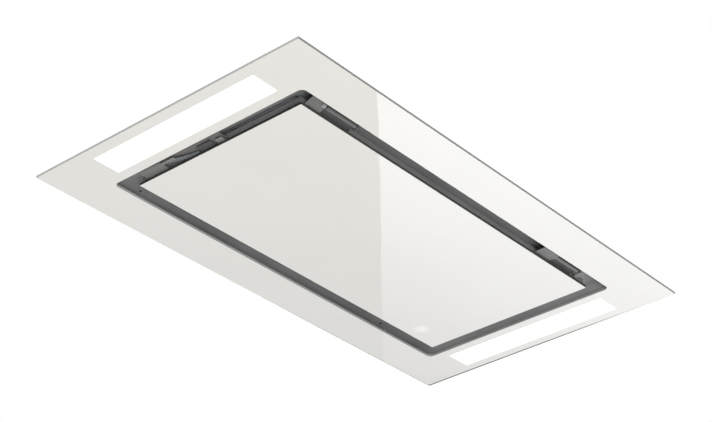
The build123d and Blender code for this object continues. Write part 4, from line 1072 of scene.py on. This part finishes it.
def set_camera(scene):
    """The camera at the photograph's place, angle and lens."""
    yaw, roll, level = CAMERA_YAW, CAMERA_ROLL, math.cos(CAMERA_PITCH)
    ahead = Vector((math.sin(yaw) * level, math.cos(yaw) * level, math.sin(CAMERA_PITCH)))
    right = Vector((math.cos(yaw), -math.sin(yaw), 0.0))
    down = ahead.cross(right)
    level_right = math.cos(roll) * right + math.sin(roll) * down
    level_down = -math.sin(roll) * right + math.cos(roll) * down
    data = bpy.data.cameras.new("Camera")
    data.sensor_width = 36.0
    data.lens = CAMERA_LENS
    data.clip_start, data.clip_end = 0.05, 100.0
    camera = bpy.data.objects.new("Camera", data)
    turn = Matrix((level_right, -level_down, -ahead)).transposed()
    camera.matrix_world = Matrix.Translation(CAMERA_PLACE) @ turn.to_4x4()
    scene.collection.objects.link(camera)
    scene.camera = camera


def seen(tree):
    """One where the camera, a reflection or a view through glass meets the surface."""
    path = add(tree, "LightPath").outputs
    straight = maths(tree, "MAXIMUM", path["Is Camera Ray"], path["Is Transmission Ray"])
    return maths(tree, "MAXIMUM", straight, path["Is Glossy Ray"])


def set_sky(scene, strength):
    """Even light from all round; white where the camera or a reflection looks past."""
    scene.world = bpy.data.worlds.new("Studio")
    tree = empty_tree(scene.world)
    level = add(tree, "MapRange", {"Value": seen(tree), "To Min": strength, "To Max": 1.0})
    sky = add(tree, "Background", {"Color": (1, 1, 1), "Strength": level.outputs[0]})
    give_out(tree, sky, "World")


def stage_piece(name, points, material, closed=False):
    """A piece of the studio from one grid of points."""
    made = patch_mesh(name, [points], closed)
    made.data.materials.append(material)
    return made


def make_ceiling():
    """White ceiling round the hood, seen only from below and lit by nothing: a flat ring
    from the cut-out to far outside."""
    corner = np.array([(-1, -1), (1, -1), (1, 1), (-1, 1)], float)
    rings = np.stack([corner * CEILING_HOLE, corner * CEILING_REACH])
    points = np.concatenate([rings, np.full((2, 4, 1), CEILING_Z)], -1)
    made, tree = empty_material("White Ceiling")
    camera = add(tree, "LightPath").outputs["Is Camera Ray"]
    from_above = add(tree, "NewGeometry").outputs["Backfacing"]
    shown = maths(tree, "MULTIPLY", camera, maths(tree, "SUBTRACT", 1.0, from_above))
    clear = add(tree, "BsdfTransparent").outputs[0]
    white = add(tree, "Emission", {"Color": (1, 1, 1), "Strength": 1.0}).outputs[0]
    give_out(tree, add(tree, "MixShader", {0: shown, 1: clear, 2: white}))
    stage_piece("Ceiling", points, made, closed=True)


def make_floor(z):
    """A pale floor that shows white and keeps the hood's shadow."""
    ends = (-FLOOR_REACH, FLOOR_REACH)
    made, tree = empty_material("Pale Floor")
    matt = add(tree, "BsdfDiffuse", {"Color": (0.86, 0.86, 0.86)}).outputs[0]
    glow = maths(tree, "MULTIPLY", seen(tree), FLOOR_GLOW)
    lift = add(tree, "Emission", {"Strength": glow}).outputs[0]
    give_out(tree, add(tree, "AddShader", {0: matt, 1: lift}))
    stage_piece("Floor", np.array([[(x, y, z) for y in ends] for x in ends]), made)


def make_cards():
    """Two upright cards beyond the hood, seen only in its glass: a dim one on the left
    and a bright one on the right, which meet in the line that the glass mirrors."""
    away = np.array(CARDS_AHEAD)
    away /= np.linalg.norm(away)
    aside = np.array([away[1], -away[0]])
    meet = np.array(CAMERA_PLACE[:2]) + CARDS_DISTANCE * away
    for name, start, end, high, low in CARDS:
        points = [[(*(meet + u * aside), z) for z in CARD_HEIGHTS] for u in (start, end)]
        card = stage_piece(name, np.array(points), card_glow(name, meet, aside, high, low))
        card.visible_camera = card.visible_diffuse = False
        card.visible_shadow = card.visible_transmission = False


def card_glow(name, meet, aside, high, low):
    """A glowing material for a card: one colour at its top, another towards its foot and
    its far side, and a small soft lamp near the line where the cards meet."""
    made, tree = empty_material(name)
    place = own_place(tree)
    slant = (-SLANT * aside[0], -SLANT * aside[1], 1.0)
    down = vectors(tree, "DOT_PRODUCT", place, slant)["Value"]
    height = maths(tree, "ADD", down, SLANT * float(meet @ aside))
    inputs = {"Value": height, "From Min": SLANT_HEIGHTS[0], "From Max": SLANT_HEIGHTS[1]}
    fall = add(tree, "MapRange", inputs).outputs[0]
    spot = tuple(np.append(meet + SPOT_ASIDE * aside, SPOT_HEIGHT))
    offset = vectors(tree, "SUBTRACT", place, spot)[0]
    flat = vectors(tree, "MULTIPLY", offset, (1, 1, 2.2))[0]
    lamp = remap(tree, vectors(tree, "LENGTH", flat)["Value"], 0.006, 0.034, 0.6, 0.0)
    glow = tint(tree, lamp, tint(tree, fall, high, low), (1, 1, 1))
    give_out(tree, add(tree, "Emission", {"Color": glow, "Strength": 3.0}))
    return made


def add_lamp(name, place, size, power):
    """A soft square lamp aimed at the hood. The low one isn't mirrored in it."""
    data = bpy.data.lights.new(name, "AREA")
    data.size = size
    data.energy = power
    lamp = bpy.data.objects.new(name, data)
    lamp.location = place
    lamp.rotation_mode = "QUATERNION"
    lamp.rotation_quaternion = (Vector(AIM) - Vector(place)).to_track_quat("-Z", "Y")
    lamp.visible_camera = False
    lamp.visible_glossy = name != "Low"
    bpy.context.scene.collection.objects.link(lamp)


# ---- panel and registering ----


class HOOD_PT_panel(bpy.types.Panel):
    """Lists the steps that build the hood"""

    bl_idname = "HOOD_PT_panel"
    bl_label = "Range Hood"
    bl_space_type = "VIEW_3D"
    bl_region_type = "UI"
    bl_category = "Range Hood"

    def draw(self, context):
        for step in STEPS:
            self.layout.operator(step.bl_idname)
        for group in SETTINGS:
            box = self.layout.box()
            values = getattr(context.scene, group)
            for key in values.bl_rna.properties.keys():
                if key not in ("rna_type", "name"):
                    box.prop(values, key)


STEPS = (HOOD_OT_finishes, HOOD_OT_filters, HOOD_OT_slot_parts, HOOD_OT_fixings, HOOD_OT_studio)
SETTINGS = {
    "hood_finish": HoodFinishSettings,
    "hood_filter": HoodFilterSettings,
    "hood_slot": HoodSlotSettings,
    "hood_fixing": HoodFixingSettings,
    "hood_studio": StudioSettings,
}
CLASSES = (*SETTINGS.values(), *STEPS, HOOD_PT_panel)


def register():
    for made in CLASSES:
        bpy.utils.register_class(made)
    for name, made in SETTINGS.items():
        setattr(bpy.types.Scene, name, PointerProperty(type=made))


def unregister():
    for name in SETTINGS:
        delattr(bpy.types.Scene, name)
    for made in reversed(CLASSES):
        bpy.utils.unregister_class(made)


def main():
    register()
    bpy.ops.hood.finishes()
    bpy.ops.hood.filters()
    bpy.ops.hood.slot_parts()
    bpy.ops.hood.fixings()
    bpy.ops.hood.studio()


if __name__ == "__main__":
    main()
